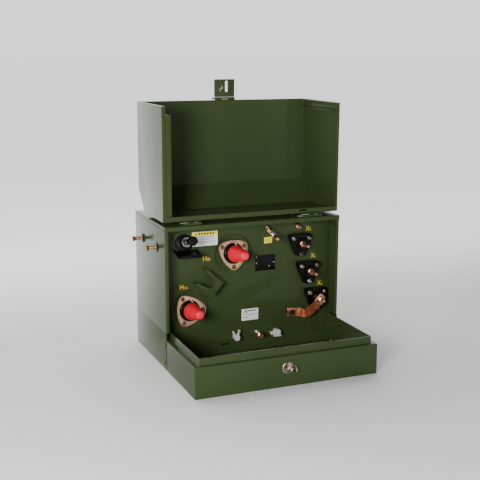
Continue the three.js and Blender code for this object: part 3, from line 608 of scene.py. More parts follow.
def side_channels():
    for side in (-1, 1):
        far = side * (INNER - CHANNEL_DEPTH)
        x0, x1 = sorted((side * (INNER - 0.5), far))
        for y0, y1 in ((22, 28), (46, 54)):
            block((x0, y0, CHANNEL_LOW), (x1, y1, CHANNEL_HIGH))
        x0, x1 = sorted((far, far + 2 * side))
        block((x0, 26, CHANNEL_LOW), (x1, 38, CHANNEL_HIGH))
        add("side channel", GREEN)


def cover():
    faces = [
        [(x, y, TANK_HEIGHT) for x, y in rectangle(-HALF, HALF, 0, TANK_DEPTH)],
        [(x, 0, z) for x, z in rectangle(-HALF, HALF, TANK_HEIGHT, TANK_HEIGHT - FLANGE_DROP)],
    ]
    lid = sheet("tank cover", faces, (0, 200, 500), bend=3)
    carve(lid, [box_cutter(UNIT, (2, -5, 598), (8, 5, 605))])
    fit(lid, "tank", "green_paint", "tank_cover")


def front_plate():
    inside = INNER - GAP
    top = TANK_HEIGHT - SHEET - GAP
    block((-inside, PLATE_Y, SHEET), (inside, PLATE_Y + SHEET, top), edge=0)
    plate = build("front plate", GREEN)
    cutters = []
    for x, z, _turn in HV_PLACES.values():
        place = on_plate(x, z, HV_TILT)
        cutters.append(round_cutter(place, HV_POCKET_R - 1.2, HV_FLOOR - 8, 40, 96))
    for x, z in LV_PLACES.values():
        cutters.append(round_cutter(on_plate(x, z), 20, -10, 10))
    cutters.append(round_cutter(on_plate(FUSE_X, FUSE_Z, FUSE_TILT), 22, -30, 30))
    carve(plate, cutters)
    rim = plate.modifiers.new("rim", "BEVEL")
    rim.width = 2.4 * MM
    rim.segments = 3
    rim.limit_method = "ANGLE"
    rim.angle_limit = radians(60)
    settle(plate)
    fit(plate, "tank", "green_paint", "front_plate")
    for x, z, _turn in HV_PLACES.values():
        pocket(x, z)
    # the black block behind the skirt's slot is painted shade, the dark inside of the slot
    block(*SKIRT_SLOT, edge=0)
    add("skirt slot shade", PLASTIC)
    for x, z in SEAM_STUDS:
        lathe([(3.4, GAP), (3.2, 1.4), (1.6, 2.4), (0, 2.6)])
        add("seam stud", STEEL, at=on_plate(x, z))


def pocket(x, z):
    """The tilted round recess behind a bushing: a floor ring and a wall cut off by the plate."""
    hole, wall, outer, brim = 36, HV_POCKET_R - 1, HV_POCKET_R + 1.5, 30
    profile = [(hole, HV_FLOOR - SHEET), (outer, HV_FLOOR - SHEET), (outer, brim), (wall, brim)]
    profile += [(wall, HV_FLOOR + 4.6), (wall - 1.6, HV_FLOOR + 1.4), (wall - 4.4, HV_FLOOR)]
    lathe(profile + [(hole, HV_FLOOR)], closed=True, count=96)
    cup = build("bushing pocket", GREEN, on_plate(x, z, HV_TILT))
    reach = 200
    front = (x - reach, PLATE_Y - reach, z - reach)
    back = (x + reach, PLATE_Y + 1.0, z + reach)
    carve(cup, [box_cutter(UNIT, front, back)])
    fit(cup, "tank", "green_paint")


def lifting_bolts():
    for name, side in SIDES.items():
        for row, y in LIFT_Y.items():
            place = facing((side * HALF, y, LIFT_Z), (side, 0, 0))
            # the boss is green paint but is drawn near black in blackened steel: painted shade
            hexagon(LIFT_BOSS_R, 0.2, LIFT_BOSS_REACH, place)
            lathe([(22, 0), (21, 1), (18, 1.8), (0, 1.8)], place)
            add("lifting boss", BLACK_STEEL_AND_SHADE, slot="green_paint")
            thread(8, LIFT_BOSS_REACH + 0.2, 40, place)
            hexagon(13, 39.5, 49, place)
            add("lifting bolt", DULL_ZINC_AND_SHADE, f"lift_bolt_{row}_{name}")


# ---- sill
def sill():
    front, rear = -SILL_DEPTH, -SILL_REVEAL
    lip_y = front + LIP_FRONT
    lip_x = HALF - LIP_SIDE
    base, top = SILL_HEIGHT, SILL_HEIGHT + LIP_HEIGHT
    outer = [(-HALF, rear), (-HALF, front), (HALF, front), (HALF, rear)]
    inner = [(-lip_x, rear), (-lip_x, lip_y), (lip_x, lip_y), (lip_x, rear)]
    faces = []
    for (a, b), (c, d) in zip(zip(outer, outer[1:]), zip(inner, inner[1:])):
        faces.append([(*a, 0), (*b, 0), (*b, base), (*a, base)])
        faces.append([(*a, base), (*b, base), (*d, base), (*c, base)])
        faces.append([(*c, base), (*d, base), (*d, top), (*c, top)])
    shell = sheet("sill", faces, (0, -150, -200), bend=3.2)
    holes = [(LOCK_X, LOCK_Z, 23), (EYE_X, EYE_Z - EYE_HALF, 3.4), (EYE_X, EYE_Z + EYE_HALF, 3.4)]
    cutters = []
    for x, z, radius in holes:
        place = UNIT @ facing((x, front, z), (0, -1, 0))
        cutters.append(round_cutter(place, radius, -9, 9))
    carve(shell, cutters)
    fit(shell, "tank", "green_paint", "sill_shell")
    for side in (-1, 1):
        sill_tab(side, lip_x)


def sill_tab(side, lip_x):
    """The sill's side runs on a little way inside the tank, where it is bolted."""
    x = side * (INNER - 0.6)
    near, far = -SILL_REVEAL - 9, TAB_REACH
    base, top = SILL_HEIGHT - 0.5, SILL_HEIGHT + LIP_HEIGHT
    edge = side * (lip_x + 0.2)
    faces = [
        [(x, near, SHEET), (x, far, SHEET), (x, far, base), (x, near, base)],
        [(x, near, base), (x, far, base), (edge, far, base), (edge, near, base)],
        [(edge, near, base), (edge, far, base), (edge, far, top), (edge, near, top)],
    ]
    fit(sheet("sill tab", faces, (0, 20, -100), bend=3), "tank", "green_paint")
    for y, z in SILL_BOLTS:
        outside = facing((side * HALF, y, z), (side, 0, 0))
        hexagon(6.8, 1.4, 6, outside)
        lathe([(8.2, GAP), (8.2, 1.4), (7, 1.8), (0, 1.8)], outside)
        inside = facing((side * (INNER - 4.2), y, z), (-side, 0, 0))
        hexagon(7, 0.2, 7, inside)
        thread(4, 6, 11, inside)
        add("sill bolt", DULL_ZINC_AND_SHADE)


def lock():
    face = UNIT @ facing((LOCK_X, -SILL_DEPTH, LOCK_Z), (0, -1, 0))
    funnel = [(8.5, -14), (11.5, -14), (22.3, -1.8), (22.5, GAP), (24, GAP)]
    rim = [(24.9, 1.8), (24.6, 3.8), (23.3, 4.9), (21.8, 5), (20.4, 4), (16, -1.5), (8.5, -10)]
    lathe(funnel + rim, closed=True, count=64)
    add("lock cup", WORN, "lock_cup", at=face)
    ring = [(5.4, -26), (11.5, -26), (12, -25), (12, -15.2), (11.5, -14.3), (5.4, -14.3)]
    lathe(ring, closed=True, count=6)
    add("lock nut", DULL_ZINC_AND_SHADE, "lock_nut", at=face, slot="bare_steel")
    out = EYE_REACH - 2.5
    half = EYE_HALF
    leg = [(half, -10), (half + 0.3, 6), (half - 0.5, out - 9.5), (half * 0.55, out - 2)]
    controls = [(0, -y, z) for y, z in leg] + [(0, 0, out)] + [(0, y, z) for y, z in leg[::-1]]
    place = UNIT @ shift(EYE_X, -SILL_DEPTH, EYE_Z) @ FLAT
    tube(smooth_path(controls, 6), 2.5, sides=16)
    add("padlock eye", WORN, "padlock_eye", at=place)


# ---- hood, drawn closed
def hood():
    rear, front = HOOD_REAR, HOOD_FRONT
    low = HOOD_BOTTOM
    profile = [(rear, low), (front, low), (front, HOOD_TOP - CHAMFER_DROP)]
    profile += [(front + CHAMFER_RUN, HOOD_TOP), (rear, HOOD_TOP)]
    faces = [[(side * HALF, y, z) for y, z in profile] for side in (-1, 1)]
    for (y0, z0), (y1, z1) in zip(profile[1:], profile[2:]):
        faces.append([(-HALF, y0, z0), (HALF, y0, z0), (HALF, y1, z1), (-HALF, y1, z1)])
    lip = [(-HALF, HOOD_TOP), (HALF, HOOD_TOP)]
    lip += [(x, z - BACK_LIP) for x, z in lip[::-1]]
    faces.append([(x, rear, z) for x, z in lip])
    shell = sheet("hood shell", faces, (0, -150, 300), HOOD)
    slot = box_cutter(HOOD, (218, -12, 594), (256, 4, 604))
    notch = box_cutter(HOOD, (3, -12, 600), (9, 4, 606))
    carve(shell, [slot, notch])
    fit(shell, "hood", "green_paint", "hood_shell")
    block((-INNER, front + 2.5, low + 0.4), (INNER, front + 10, low + 3.4), edge=1)
    for side in (-1, 1):
        x0, x1 = sorted((side * (INNER + 0.5), side * (INNER - 12)))
        block((x0, front + 3, low + 0.7), (x1, rear - 1, low + 3.7), edge=1)
    add("hood hem", GREEN, **ON_HOOD)
    hood_flanges()


def hood_flanges():
    rear, low, top, step = HOOD_REAR, HOOD_BOTTOM + 1, HOOD_TOP - 2, FLANGE_STEP
    # the left flange steps back, runs on and ends in a hook, with a rib between them
    step_x, rib_x, hook_x = -389, -379.4, -364
    block((-HALF + 1, rear - 3.2, low), (step_x, rear - 0.1, top), edge=1.2)
    block((step_x - 3, rear - 7, step), (step_x, rear - 0.6, top), edge=1)
    block((step_x - 2.5, rear - 7.4, step + 0.5), (hook_x, rear - 4.4, top), edge=1)
    block((hook_x - 2.5, rear - 11, step + 1), (hook_x, rear - 4.4, top), edge=0.8)
    block((rib_x, rear - 6.4, step + 1), (rib_x + 2.8, rear - 3.6, top), edge=1)
    add("hood left flange", GREEN, **ON_HOOD)
    rod(5, 0, 7, facing((hook_x - 1, rear - 4, step - 4), (0, 1, 0)), 1.2)
    add("flange bumper", PLASTIC, **ON_HOOD)
    block((HALF - 9, rear - 3.2, low), (HALF - 1, rear - 0.1, top), edge=1.2)
    add("hood right flange", GREEN, **ON_HOOD)
    for name, side in SIDES.items():
        wall = side * (INNER - GAP)
        near, far = HOOD_FRONT + 12, rear - 14
        for inset, z0, z1 in ((26, STOP_TOP - 3, STOP_TOP), (GAP + SHEET, STOP_LOW, STOP_TOP - 1)):
            x0, x1 = sorted((wall, side * (INNER - inset)))
            block((x0, near, z0), (x1, far, z1), edge=1)
        node = f"hood_stop_{name}"
        add("stop angle", GREEN, node, **ON_HOOD)


def hinges():
    end, third = HINGE_LENGTH / 2, HINGE_LENGTH / 6
    low = TANK_HEIGHT + GAP - HINGE_Z
    low_hood = HOOD_TOP + GAP - HINGE_Z
    for name, side in SIDES.items():
        centre = shift(side * HINGE_CENTRE_X, HINGE_Y, HINGE_Z)
        block((-end, 13, low), (end, 48, low + SHEET), centre, 0.8)
        for x0, x1 in ((-end, -third - GAP), (third + GAP, end)):
            block((x0, 1, low), (x1, 14, low + SHEET), centre)
            along_x(KNUCKLE_R, x0, x1, 0, 0, centre)
        along_x(2.6, -end - 1, end + 1, 0, 0, centre)
        add("tank hinge leaf", GREEN, f"hinge_tank_leaf_{name}")
        folded = centre @ spin("X", pi)
        block((-end, -55, low_hood), (end, -16.5, low_hood + SHEET), folded, 0.8)
        block((-third, -19.5, low_hood), (third, -16.5, low_hood + 7), folded)
        block((-third, -19.5, low_hood + 4), (third, -2, low_hood + 7), folded)
        along_x(KNUCKLE_R, -third, third, 0, 0, folded)
        node = f"hinge_hood_leaf_{name}"
        add("hood hinge leaf", GREEN, node, body="hood")
    top = TANK_HEIGHT + SHEET
    block((CLIP_X0, -2.6, TANK_HEIGHT - 19), (CLIP_X1, -GAP, top), edge=0.7)
    block((CLIP_X0, -2.6, TANK_HEIGHT + GAP), (CLIP_X1, 34, top), edge=0.7)
    add("lip clip", GREEN, "lip_clip")


def hasp():
    third = (HASP_X1 - HASP_X0) / 3
    middle = (HASP_X0 + third, HASP_X1 - third)
    outer = HOOD_FRONT - GAP
    z = PIVOT_Z
    block((HASP_X0, outer - 3, z + 4.7), (HASP_X1, outer, z + 34), edge=0.8)
    for x0, x1 in ((HASP_X0, middle[0] - GAP), (middle[1] + GAP, HASP_X1)):
        along_x(PIVOT_R, x0, x1, PIVOT_Y, z)
        block((x0, PIVOT_Y - 2, z), (x1, outer - 2.5, z + 6))
    along_x(1.8, HASP_X0 - 4, HASP_X1 + 2, PIVOT_Y, z)
    add("hasp leaf", GREEN, "hasp_leaf", **ON_HOOD)
    place = facing((HASP_X0 - 3.4, PIVOT_Y, z), (-1, 0, 0))
    lathe([(4.2, 0), (4.2, 4), (3.8, 6.2), (2.4, 7.3), (0, 7.6)], place)
    add("hasp pin head", PLASTIC, **ON_HOOD)
    hasp_plate(middle)
    inwards = facing((LOCK_X, HASP_Y, LOCK_Z), (0, 1, 0))
    hexagon(9, -10.3, -2.3, inwards, 5)
    rod(4.4, -3, 5, inwards)
    thread(5, 5, 18, inwards, 1.6)
    lathe([(4, 18), (3, 19), (0, 19)], inwards)
    # a bent wire keeps the bolt in the plate
    for a, b in (((-15.5, 5.6), (13, -4.8)), ((5, -14.5), (-5, 15))):
        points = []
        for t in (0, 0.5, 1):
            dx = a[0] + (b[0] - a[0]) * t
            dz = a[1] + (b[1] - a[1]) * t
            points.append((LOCK_X + dx, HASP_Y + 4.7, LOCK_Z + dz))
        tube(points, 2.3, sides=10)
    add("lock bolt", STEEL, "penta_bolt", at=HOOD, body="lock_bolt")


def hasp_plate(middle):
    face = (HASP_Y - 2, HASP_Y + 2)
    outline = rounded(rectangle(HASP_X0, HASP_X1, HASP_TIP, HASP_TOP), 4)
    prism(outline, -face[1], -face[0], FLAT, 0.8)
    block((middle[0], face[0], HASP_TOP - 3), (middle[1], face[1], PIVOT_Z + 1))
    along_x(PIVOT_R, *middle, PIVOT_Y, PIVOT_Z)
    rim = (HASP_Y + 1, HASP_Y + 8)
    low = HASP_TIP + 3
    block((HASP_X0 + 3, rim[0], HASP_TIP), (HASP_X1 - 3, rim[1], low))
    for x in (HASP_X0, HASP_X1 - 3):
        block((x, rim[0], low), (x + 3, rim[1], HASP_TOP))
    obj = build("hasp plate", GREEN, HOOD)
    prism(rounded(rectangle(EYE_X - 6.5, EYE_X + 6.5, 48.5, 99.5), 6.4, 8), 355, 380)
    slot_cutter = build("cutter", GREEN, HOOD @ FLAT)
    drill = HOOD @ facing((LOCK_X, HASP_Y, LOCK_Z), (0, -1, 0))
    carve(obj, [slot_cutter, round_cutter(drill, 5.4, -9, 9)])
    fit(obj, "hasp", "green_paint", "hasp_plate")


# ---- high-voltage bushings
def clamp_outline(corner, z):
    """A triangle with bowed sides and rounded corners, sampled at even angles."""
    side = corner * sqrt(3)
    limit = corner * 0.93 * 0.96
    points = []
    for i in range(FINE):
        angle = 2 * pi * i / FINE
        # distance from the middle to the arc that faces this direction
        toward = (angle + pi / 3) % (2 * pi / 3) - pi / 3
        off = pi / 3 - abs(toward)
        reach = -corner * cos(off) + sqrt(side**2 - (corner * sin(off)) ** 2)
        if reach > limit:
            reach = limit + (reach - limit) * 0.45
        points.append((reach * cos(angle), reach * sin(angle), z))
    return points


def high_voltage():
    low = HV_FLOOR + GAP
    well_low = [(14, -118), (17, -112), (24, -60), (35, HV_FLOOR - SHEET), (35, low), (52, low)]
    well_collar = [(52, low + 7), (50, low + 8), (43, low + 9), (42.5, 20), (41, 22.5)]
    well_nose = [(33, 22.5), (31, 34), (20, 112), (14, 118), (0, 118)]
    cap_foot = [(33.4, 24), (35.6, 24.6), (36.9, 27), (37, 40), (36, 46), (33.6, 54)]
    cap_tip = [(24.2, 114), (21.8, 120), (20, 126), (19.6, 133), (18, 137.6), (14, 141)]
    cap_end = [(8, 142), (0, 142.2)]
    cap_inside = [(0, 122), (15.5, 121), (21.6, 114), (33, 36), (33.2, 25.5)]
    for label, (x, z, turn) in HV_PLACES.items():
        place = on_plate(x, z, HV_TILT, turn)
        lathe(well_low + well_collar + well_nose, count=64)
        add("bushing insert", EPOXY, f"hv_well_{label}", at=place)
        clamp_plate(label, place, HV_FLOOR + 8.8)
        lathe(cap_foot + cap_tip + cap_end + cap_inside, count=FINE)
        body = f"cap_{label}"
        add("bushing cap", RED, f"hv_cap_{label}", at=place, body=body)
        block((2, 38, 11), (9, 44, 27), edge=1)
        rod(4, 9, 13, shift(5, 46, 0))
        add("earthing tab", ZINC, at=on_plate(x, z, HV_TILT))


def clamp_plate(label, place, low):
    outer = ((1.2, 0), (0, 1.2), (0, 7.6), (1.2, 9), (3.6, 9), (5, 7.6), (8, 4.2))
    inner = ((51.5, 4.2), (50, 6.2), (47.5, 6.2), (CLAMP_BORE, 4.6))
    rings = [circle(CLAMP_BORE, low, FINE)]
    rings += [clamp_outline(CLAMP_CORNER - inset, low + rise) for inset, rise in outer]
    rings += [circle(radius, low + rise, FINE) for radius, rise in inner]
    loft(rings, closed=True)
    add("bushing clamp", ZINC, f"hv_clamp_{label}", at=place)
    for turn in range(3):
        spot = place @ spin("Z", 2 * pi * turn / 3) @ shift(CLAMP_STUDS_AT, 0, 0)
        lathe([(9.8, low + 4.4), (9.8, low + 5.8), (9, low + 6.2), (0, low + 6.2)])
        thread(4.6, low + 6, low + 17)
        add("clamp stud", DULL_ZINC_AND_SHADE, at=spot)
        hexagon(8, low + 6.3, low + 13)
        add("clamp nut", DULL_ZINC_AND_SHADE, at=spot)


# ---- low-voltage bushings
def low_voltage():
    outline = [(-50, 43), (46, 43), (54, 34), (53, 20)]
    outline += [(22, -56), (-22, -57), (-56, 24), (-55, 38)]
    for label, (x, z) in LV_PLACES.items():
        place = on_plate(x, z)
        spots = [shift(bx, by, 0) for bx, by in LV_BOLTS]
        prism(rounded(outline, 8), GAP, 24, edge=2.5)
        lathe([(27, 23), (25, 28), (21, 33), (9, 33), (0, 33)])
        rod(19.5, -46, 5)
        for spot in spots:
            lathe([(13, 22), (12, 26.5), (10.5, 28), (0, 28)], spot)
        add("bushing block", EPOXY, f"lv_block_{label}", at=place)
        for spot in spots:
            rod(8.6, 28, 29.4, spot, 0.4)
            hexagon(7, 29.4, 36, spot)
            thread(4.4, 35.5, 44, spot, 1.6)
            lathe([(4, 44), (3, 45.5), (0, 46)], spot)
        add("block nuts", WORN, at=place)
        rod(8, -72, 34)
        hexagon(14, 33.6, 46)
        rod(10.5, 45.5, 58, edge=1)
        thread(8, 57.5, 93, pitch=2.2)
        lathe([(7.2, 93), (7, 95.5), (5.6, 97.6), (0, 98)])
        add("terminal stud", COPPER, f"lv_stud_{label}", at=place)


def strap_leaf(path, leaf):
    """One leaf's section at each point of the strap's path."""
    rings = []
    half = STRAP_HALF - 0.9 * (leaf % 2)
    corners = ((1, 1), (-1, 1), (-1, -1), (1, -1))
    for i, point in enumerate(path):
        t = i / (len(path) - 1)
        fan = sin(pi * t) ** 2
        before, after = path[max(i - 1, 0)], path[min(i + 1, len(path) - 1)]
        along = (after - before).normalized()
        across = Vector((-along.z, 0, along.x)).normalized()
        normal = along.cross(across).normalized()
        off = (leaf - (STRAP_LEAVES - 1) / 2) * (STRAP_PITCH + STRAP_FAN * fan)
        # the leaves buckle into ridges that run across the bend at a slant
        bend = exp(-(((t - STRAP_BEND_AT) / STRAP_BEND_SPREAD) ** 2))
        ridge = STRAP_RIDGE * bend * sin(2 * pi * t * STRAP_RIDGES)
        middle = point + normal * (off + ridge) + along * off * 1.2 * fan
        slant = along * (-STRAP_SLANT * bend)
        thick = normal * STRAP_LEAF_HALF
        rings.append([middle + across * (half * u) + slant * u + thick * v for u, v in corners])
    return rings


def strap():
    pad_y, stud_y = PLATE_Y - 12, PLATE_Y - 62
    stud_x, stud_z = LV_PLACES["x2"]
    controls = [
        (PAD_X + 18, pad_y, PAD_Z),
        (PAD_X + 36, pad_y - 6, PAD_Z - 1),
        (PAD_X + 52, pad_y - 22, PAD_Z - 3),
        (PAD_X + 68, pad_y - 32, PAD_Z + 4),
        (PAD_X + 86, pad_y - 42, PAD_Z + 22),
        (stud_x - 14, stud_y, stud_z - 16),
    ]
    path = smooth_path(controls, 16)
    for leaf in range(STRAP_LEAVES):
        loft(strap_leaf(path, leaf))
        # every other leaf takes the lighter copper: a painted highlight along the leaf edges
        material = (STRAP, COPPER)[leaf % 2]
        nodes = ("ground_strap",) if leaf == 0 else ()
        add(f"strap leaf {leaf}", material, *nodes)
    thick = STRAP_PAD_HALF
    outline = rounded(rectangle(PAD_X - 24, PAD_X + 25, PAD_Z - 20, PAD_Z + 20), 5)
    prism(outline, -pad_y - thick, -pad_y + thick, FLAT, 1)
    turned = shift(stud_x, stud_y, stud_z) @ spin("Y", radians(-47))
    prism(rounded(rectangle(-24, 22, -21, 21), 7), -thick, thick, turned @ FLAT, 1)
    add("strap pads", COPPER)
    rod(15.5, 65.2, 67.6, edge=0.5)
    hexagon(13.5, 67.6, 78)
    add("strap nut", COPPER, at=on_plate(stud_x, stud_z))
    half = PAD_SIZE / 2
    place = on_plate(PAD_X, PAD_Z)
    prism(rounded(rectangle(-half, half, -half, half), 4), GAP, 9, edge=1)
    # the ground pad is bare steel; its dark dull zinc is painted shade, the shadow that falls on
    # it
    add("ground pad", DULL_ZINC_AND_SHADE, "ground_pad", at=place, slot="bare_steel")
    rod(12.5, 15.1, 17, edge=0.5)
    hexagon(9.5, 17, 25)
    add("ground bolt", BLACK_STEEL_AND_SHADE, "ground_bolt", at=place)


# ---- plate fittings
def parking_stand():
    web = [(-53, 41), (47, 36), (47, -36), (-53, -41), (-53, -31), (-4, -23)]
    for k in range(13):
        angle = -pi / 2 + pi * k / 12
        web.append((-4 + 25 * cos(angle), 23 * sin(angle)))
    prism(web + [(-53, 31)], 47, 50.5, edge=0.8)
    for side in (-1, 1):
        flange = [(-50, 40.8 * side), (47, 36 * side), (47, 32.6 * side), (-50, 37.4 * side)]
        prism(flange[::side], GAP, 49, edge=0.8)
    place = on_plate(STAND_X, STAND_Z, 0, STAND_TURN)
    add("parking stand", GREEN, "parking_stand", at=place)


def card(name, x0, x1, z0, z1, material, *nodes, depth=(GAP, 1.2)):
    prism(rounded(rectangle(x0, x1, z0, z1), 2), *depth, edge=0.2)
    add(name, material, *nodes, at=on_plate(0, 0))


def rows_of_print(x0, x1, z_top, count, pitch, height, seed, material=INK):
    """Bars that stand for lines of small print."""
    for row in range(count):
        z = z_top - row * pitch
        x = x0
        step = seed + row * 3
        while x < x1 - 4:
            step += 1
            end = min(x + 3.5 + (step * 7 % 5) * 1.7, x1)
            prism(rectangle(x, end, z - height, z), *PRINT_DEPTH)
            x = end + 1.6
    add("print", material, at=on_plate(0, 0), slot="label_stock")


def labels():
    face = on_plate(0, 0)
    card("caution card", -253, -136, 504, 567, CARD, "caution_label")
    card("caution band", -252, -137, 550, 566, YELLOW, depth=BAND_DEPTH)
    prism([(-240, 553.5), (-230, 553.5), (-235, 562.5)], *MARK_DEPTH)
    for x in range(-224, -146, 13):
        prism(rectangle(x, x + 8, 554, 562), *MARK_DEPTH)
    add("band marks", PLASTIC, at=face)
    rows_of_print(-243, -148, 547, 1, 5, 3.6, 2, PLASTIC)
    for line in CAUTION_PRINT:
        rows_of_print(*line)
    prism(rectangle(-243, -236, 508, 516), 1.2, 1.6)
    add("label mark", RED, at=face)
    card("data card", -21, 59, 147, 200, CARD, "data_label")
    for line in DATA_PRINT:
        rows_of_print(*line)
    card("nameplate card", 43, 139, 370, 440, PLASTIC, "nameplate", depth=(GAP, 2.2))
    for x, z in NAMEPLATE_RIVETS:
        place = shift(x, z, 0)
        lathe([(3.2, 2.2), (3.1, 3.2), (1.9, 4.3), (0, 4.6)], place)
    add("nameplate rivets", STEEL, at=face)
    card("yellow tag", 85, 123, 493, 520, YELLOW)
    rows_of_print(93, 116, 513, 3, 6, 2, 8)
    for text, (x, z) in MARKS.items():
        stencil(text, x, z)


def stencil(text, x, z):
    """A terminal mark: one letter, then its index in smaller characters."""
    letters = []
    for string, size, across in ((text[0], 31, 0), (text[1:], 19, 18)):
        curve = bpy.data.curves.new("stencil", "FONT")
        curve.body = string
        curve.size = size
        curve.extrude = 0.2
        writing = bpy.data.objects.new("stencil", curve)
        show(writing)
        bpy.context.view_layer.update()
        mesh = bpy.data.meshes.new_from_object(writing)
        bpy.data.objects.remove(writing)
        mesh.transform(shift(across, 0, 0.5) @ Matrix.Diagonal((0.86, 1, 1, 1)))
        letters.append(mesh)
    for mesh in letters:
        canvas.from_mesh(mesh)
        bpy.data.meshes.remove(mesh)
    add("stencil " + text, STENCIL, at=on_plate(x, z))


def relief_valve():
    place = on_plate(RELIEF_X, RELIEF_Z, RELIEF_TILT)
    rod(8.2, -14, 14)
    lathe([(12, 4), (12.6, 6), (12.6, 15), (11, 17), (0, 17)])
    hexagon(13.5, 17, 34)
    rod(10.4, 33, 37)
    hexagon(12.5, 36.5, 48)
    lathe([(4.6, 48), (8.6, 48), (8.6, 63), (7.8, 64), (4.6, 64)], closed=True)
    add("relief valve", BRASS, "relief_valve", at=place)
    for lift, reach in ((14, 9), (22, 7)):
        points = [(-10 + reach * x, 15 + 3 * y, lift + 8 * y) for x, y, _z in circle(1, 0, 24)]
        tube(points, 1.2, closed=True, sides=8)
    rod(3.2, 2, 15, shift(-7, 14, 0))
    add("pull ring", STEEL, at=place)
    turns, steps = 4, 16
    points = []
    for k in range(turns * steps + 1):
        angle = 2 * pi * k / steps
        lift = 69 + 11 * k / (turns * steps)
        points.append((7.4 * cos(angle), 7.4 * sin(angle), lift))
    tube(points, 1.3, sides=8)
    rod(12, 66, 68.4, edge=0.5)
    rod(12.4, 80.5, 84, edge=0.8)
    rod(10.5, 83.5, 88, edge=0.8)
    add("relief spring", STEEL, at=place, body="relief_pull")
    rod(4, 42, 92, count=20)
    lathe([(10.4, 88), (11, 90), (11, 104), (10, 111), (7.6, 116), (4, 118), (0, 118)])
    add("relief cap", COPPER, "relief_cap", at=place, body="relief_pull", slot="brass")


def plugs():
    level, drain = on_plate(PLUG_X, PLUG_Z), on_plate(DRAIN_X, DRAIN_Z)
    rod(9, -12, 4)
    lathe([(13, 3), (13.4, 5), (12.6, 14), (10.6, 19), (6, 21.4), (0, 22)])
    add("level plug", COPPER, "level_plug", at=level, body="level_plug", slot="brass")
    rod(4.2, 20, 42, edge=1.2, count=20)
    add("level plug pin", STEEL, at=level, body="level_plug")
    rod(9, -12, 6)
    rod(11, 5.5, 24)
    hexagon(14, 22, 38)
    lathe([(9.5, 37), (9.8, 40), (9.2, 50), (7, 54), (3, 55.4), (0, 55.6)])
    add("drain valve", COPPER, "drain_plug", at=drain, slot="brass")
    tube(smooth_path([(0, 9, 13), (-8, 14, 14), (-14, 15, 22), (-12, 19, 26)], 5), 3)
    rod(6, 8, 15, shift(-12, 13, 0), 1)
    add("sampler", TIN, at=drain)


def connectors():
    clamp = [(6, 27), (6, 40), (12.6, 40), (14, 38.6)]
    clamp += [(14, 13.4), (12.6, 12), (0.5, 12), (0.5, 27)]
    for side, (x, z, turn) in CONNECTORS.items():
        place = on_plate(x, z, 0, turn)
        rod(9, GAP, 16)
        lathe(clamp, closed=True)
        if side == "right":
            tube([(-17, y, 32) for y in (-18, 0, 18)], 4.9, sides=16)
            block((-17, -5, 27), (-9, 5, 37), edge=1.5)
        tube(smooth_path([(-15, 17, 11), (-13, 13, 14), (-10, 6, 20)], 5), 3.6)
        rod(4.6, 8, 14, shift(-15, 17, 0), 1)
        add("ground connector", TIN, f"connector_{side}", at=place)
        up = facing((0, 0, 33), (0, 1, 0))
        thread(4.8, 7.5, 29, up, 1.6)
        hexagon(6.6, 28, 37, up)
        node, body = f"connector_screw_{side}", f"screw_{side}"
        add("connector screw", TIN, node, at=place, body=body)


def fuse():
    place = on_plate(FUSE_X, FUSE_Z, FUSE_TILT)
    mouth = [(13, -182), (13, 40), (20, 40), (21.4, 36), (21.4, 26), (24, 14), (30, 12)]
    collar = [(37, 10), (37.5, 6), (37.5, -2), (20, -8), (20, -190), (15, -190)]
    lathe(mouth + collar, closed=True, count=56)
    body = build("fuse housing", PLASTIC, place)
    shave = box_cutter(UNIT, (-400, PLATE_Y - GAP, 440), (-200, PLATE_Y + 12, 600))
    rod(21.6, -40, 40, edge=0)
    carve(body, [shave])
    fit(body, "tank", "black_plastic", "fuse_housing")
    neck = build("fuse tube neck", PLASTIC, place)
    carve(neck, [round_cutter(place, 13, -60, 60)])
    fit(neck, "tank", "black_plastic")
    inside = [(13.6, 38), (13.6, 42.6), (14.6, 43.6)]
    lathe(inside + [(20.4, 43.6), (21.6, 42.2), (21.6, 36)], closed=True)
    add("fuse mouth ring", STEEL, at=place)
    rod(11.5, -175, -20)
    rod(8, -25, 62)
    add("fuse holder", PLASTIC, "fuse_holder", at=place, body="fuse")
    fuse_handle(place)
    drip_tray()


def fuse_handle(place):
    body = "fuse_handle"
    lathe([(8.4, 46), (12, 46), (12, 60), (11, 112), (8.4, 112)], closed=True)
    rod(11.5, 66, 112)
    head = [(14, 110), (18.5, 111), (20, 114), (20, 128), (18.6, 133), (14, 136.4), (0, 137)]
    lathe(head)
    for k in range(12):
        spot = spin("Z", 2 * pi * k / 12) @ shift(19.4, 0, 0)
        rod(1.4, 114, 129, spot, 0.5, 8)
    add("fuse handle", PLASTIC, "fuse_handle", at=place, body=body)
    reach, angle = 17.5, radians(43)
    x, y = reach * cos(angle), reach * sin(angle)
    tube([(-x, -y, 52), (0, 0, 52), (x, y, 52)], 4.2, sides=16)
    add("fuse lugs", BRASS, at=place, body=body)
    points = [(7, -21 + a, 125 + b) for a, b, _z in circle(4.6, 0, 20)]
    tube(points, 1.7, closed=True, sides=10)
    add("fuse pull eye", STEEL, at=place, body=body)


def drip_tray():
    rear_left, rear_right = (-336, 99.6, 490), (-238, 99.6, 490)
    left, right = (-337, 24, 474), (-236, 24, 474)
    faces = [
        [rear_left, rear_right, right, left],
        [left, right, (-236, 21, 486), (-337, 21, 486)],
        [rear_left, left, (-337, 24, 486), (-336, 99.6, 500)],
        [rear_right, right, (-236, 24, 486), (-238, 99.6, 500)],
    ]
    tray = bmesh.new()
    for face in faces:
        tray.faces.new([tray.verts.new(c) for c in face])
    bmesh.ops.remove_doubles(tray, verts=tray.verts, dist=0.01)
    absorb(tray)
    obj = build("drip guard", PLASTIC)
    thicken(obj, 2.6, 0, False)
    fit(obj, "tank", "black_plastic", "drip_guard")


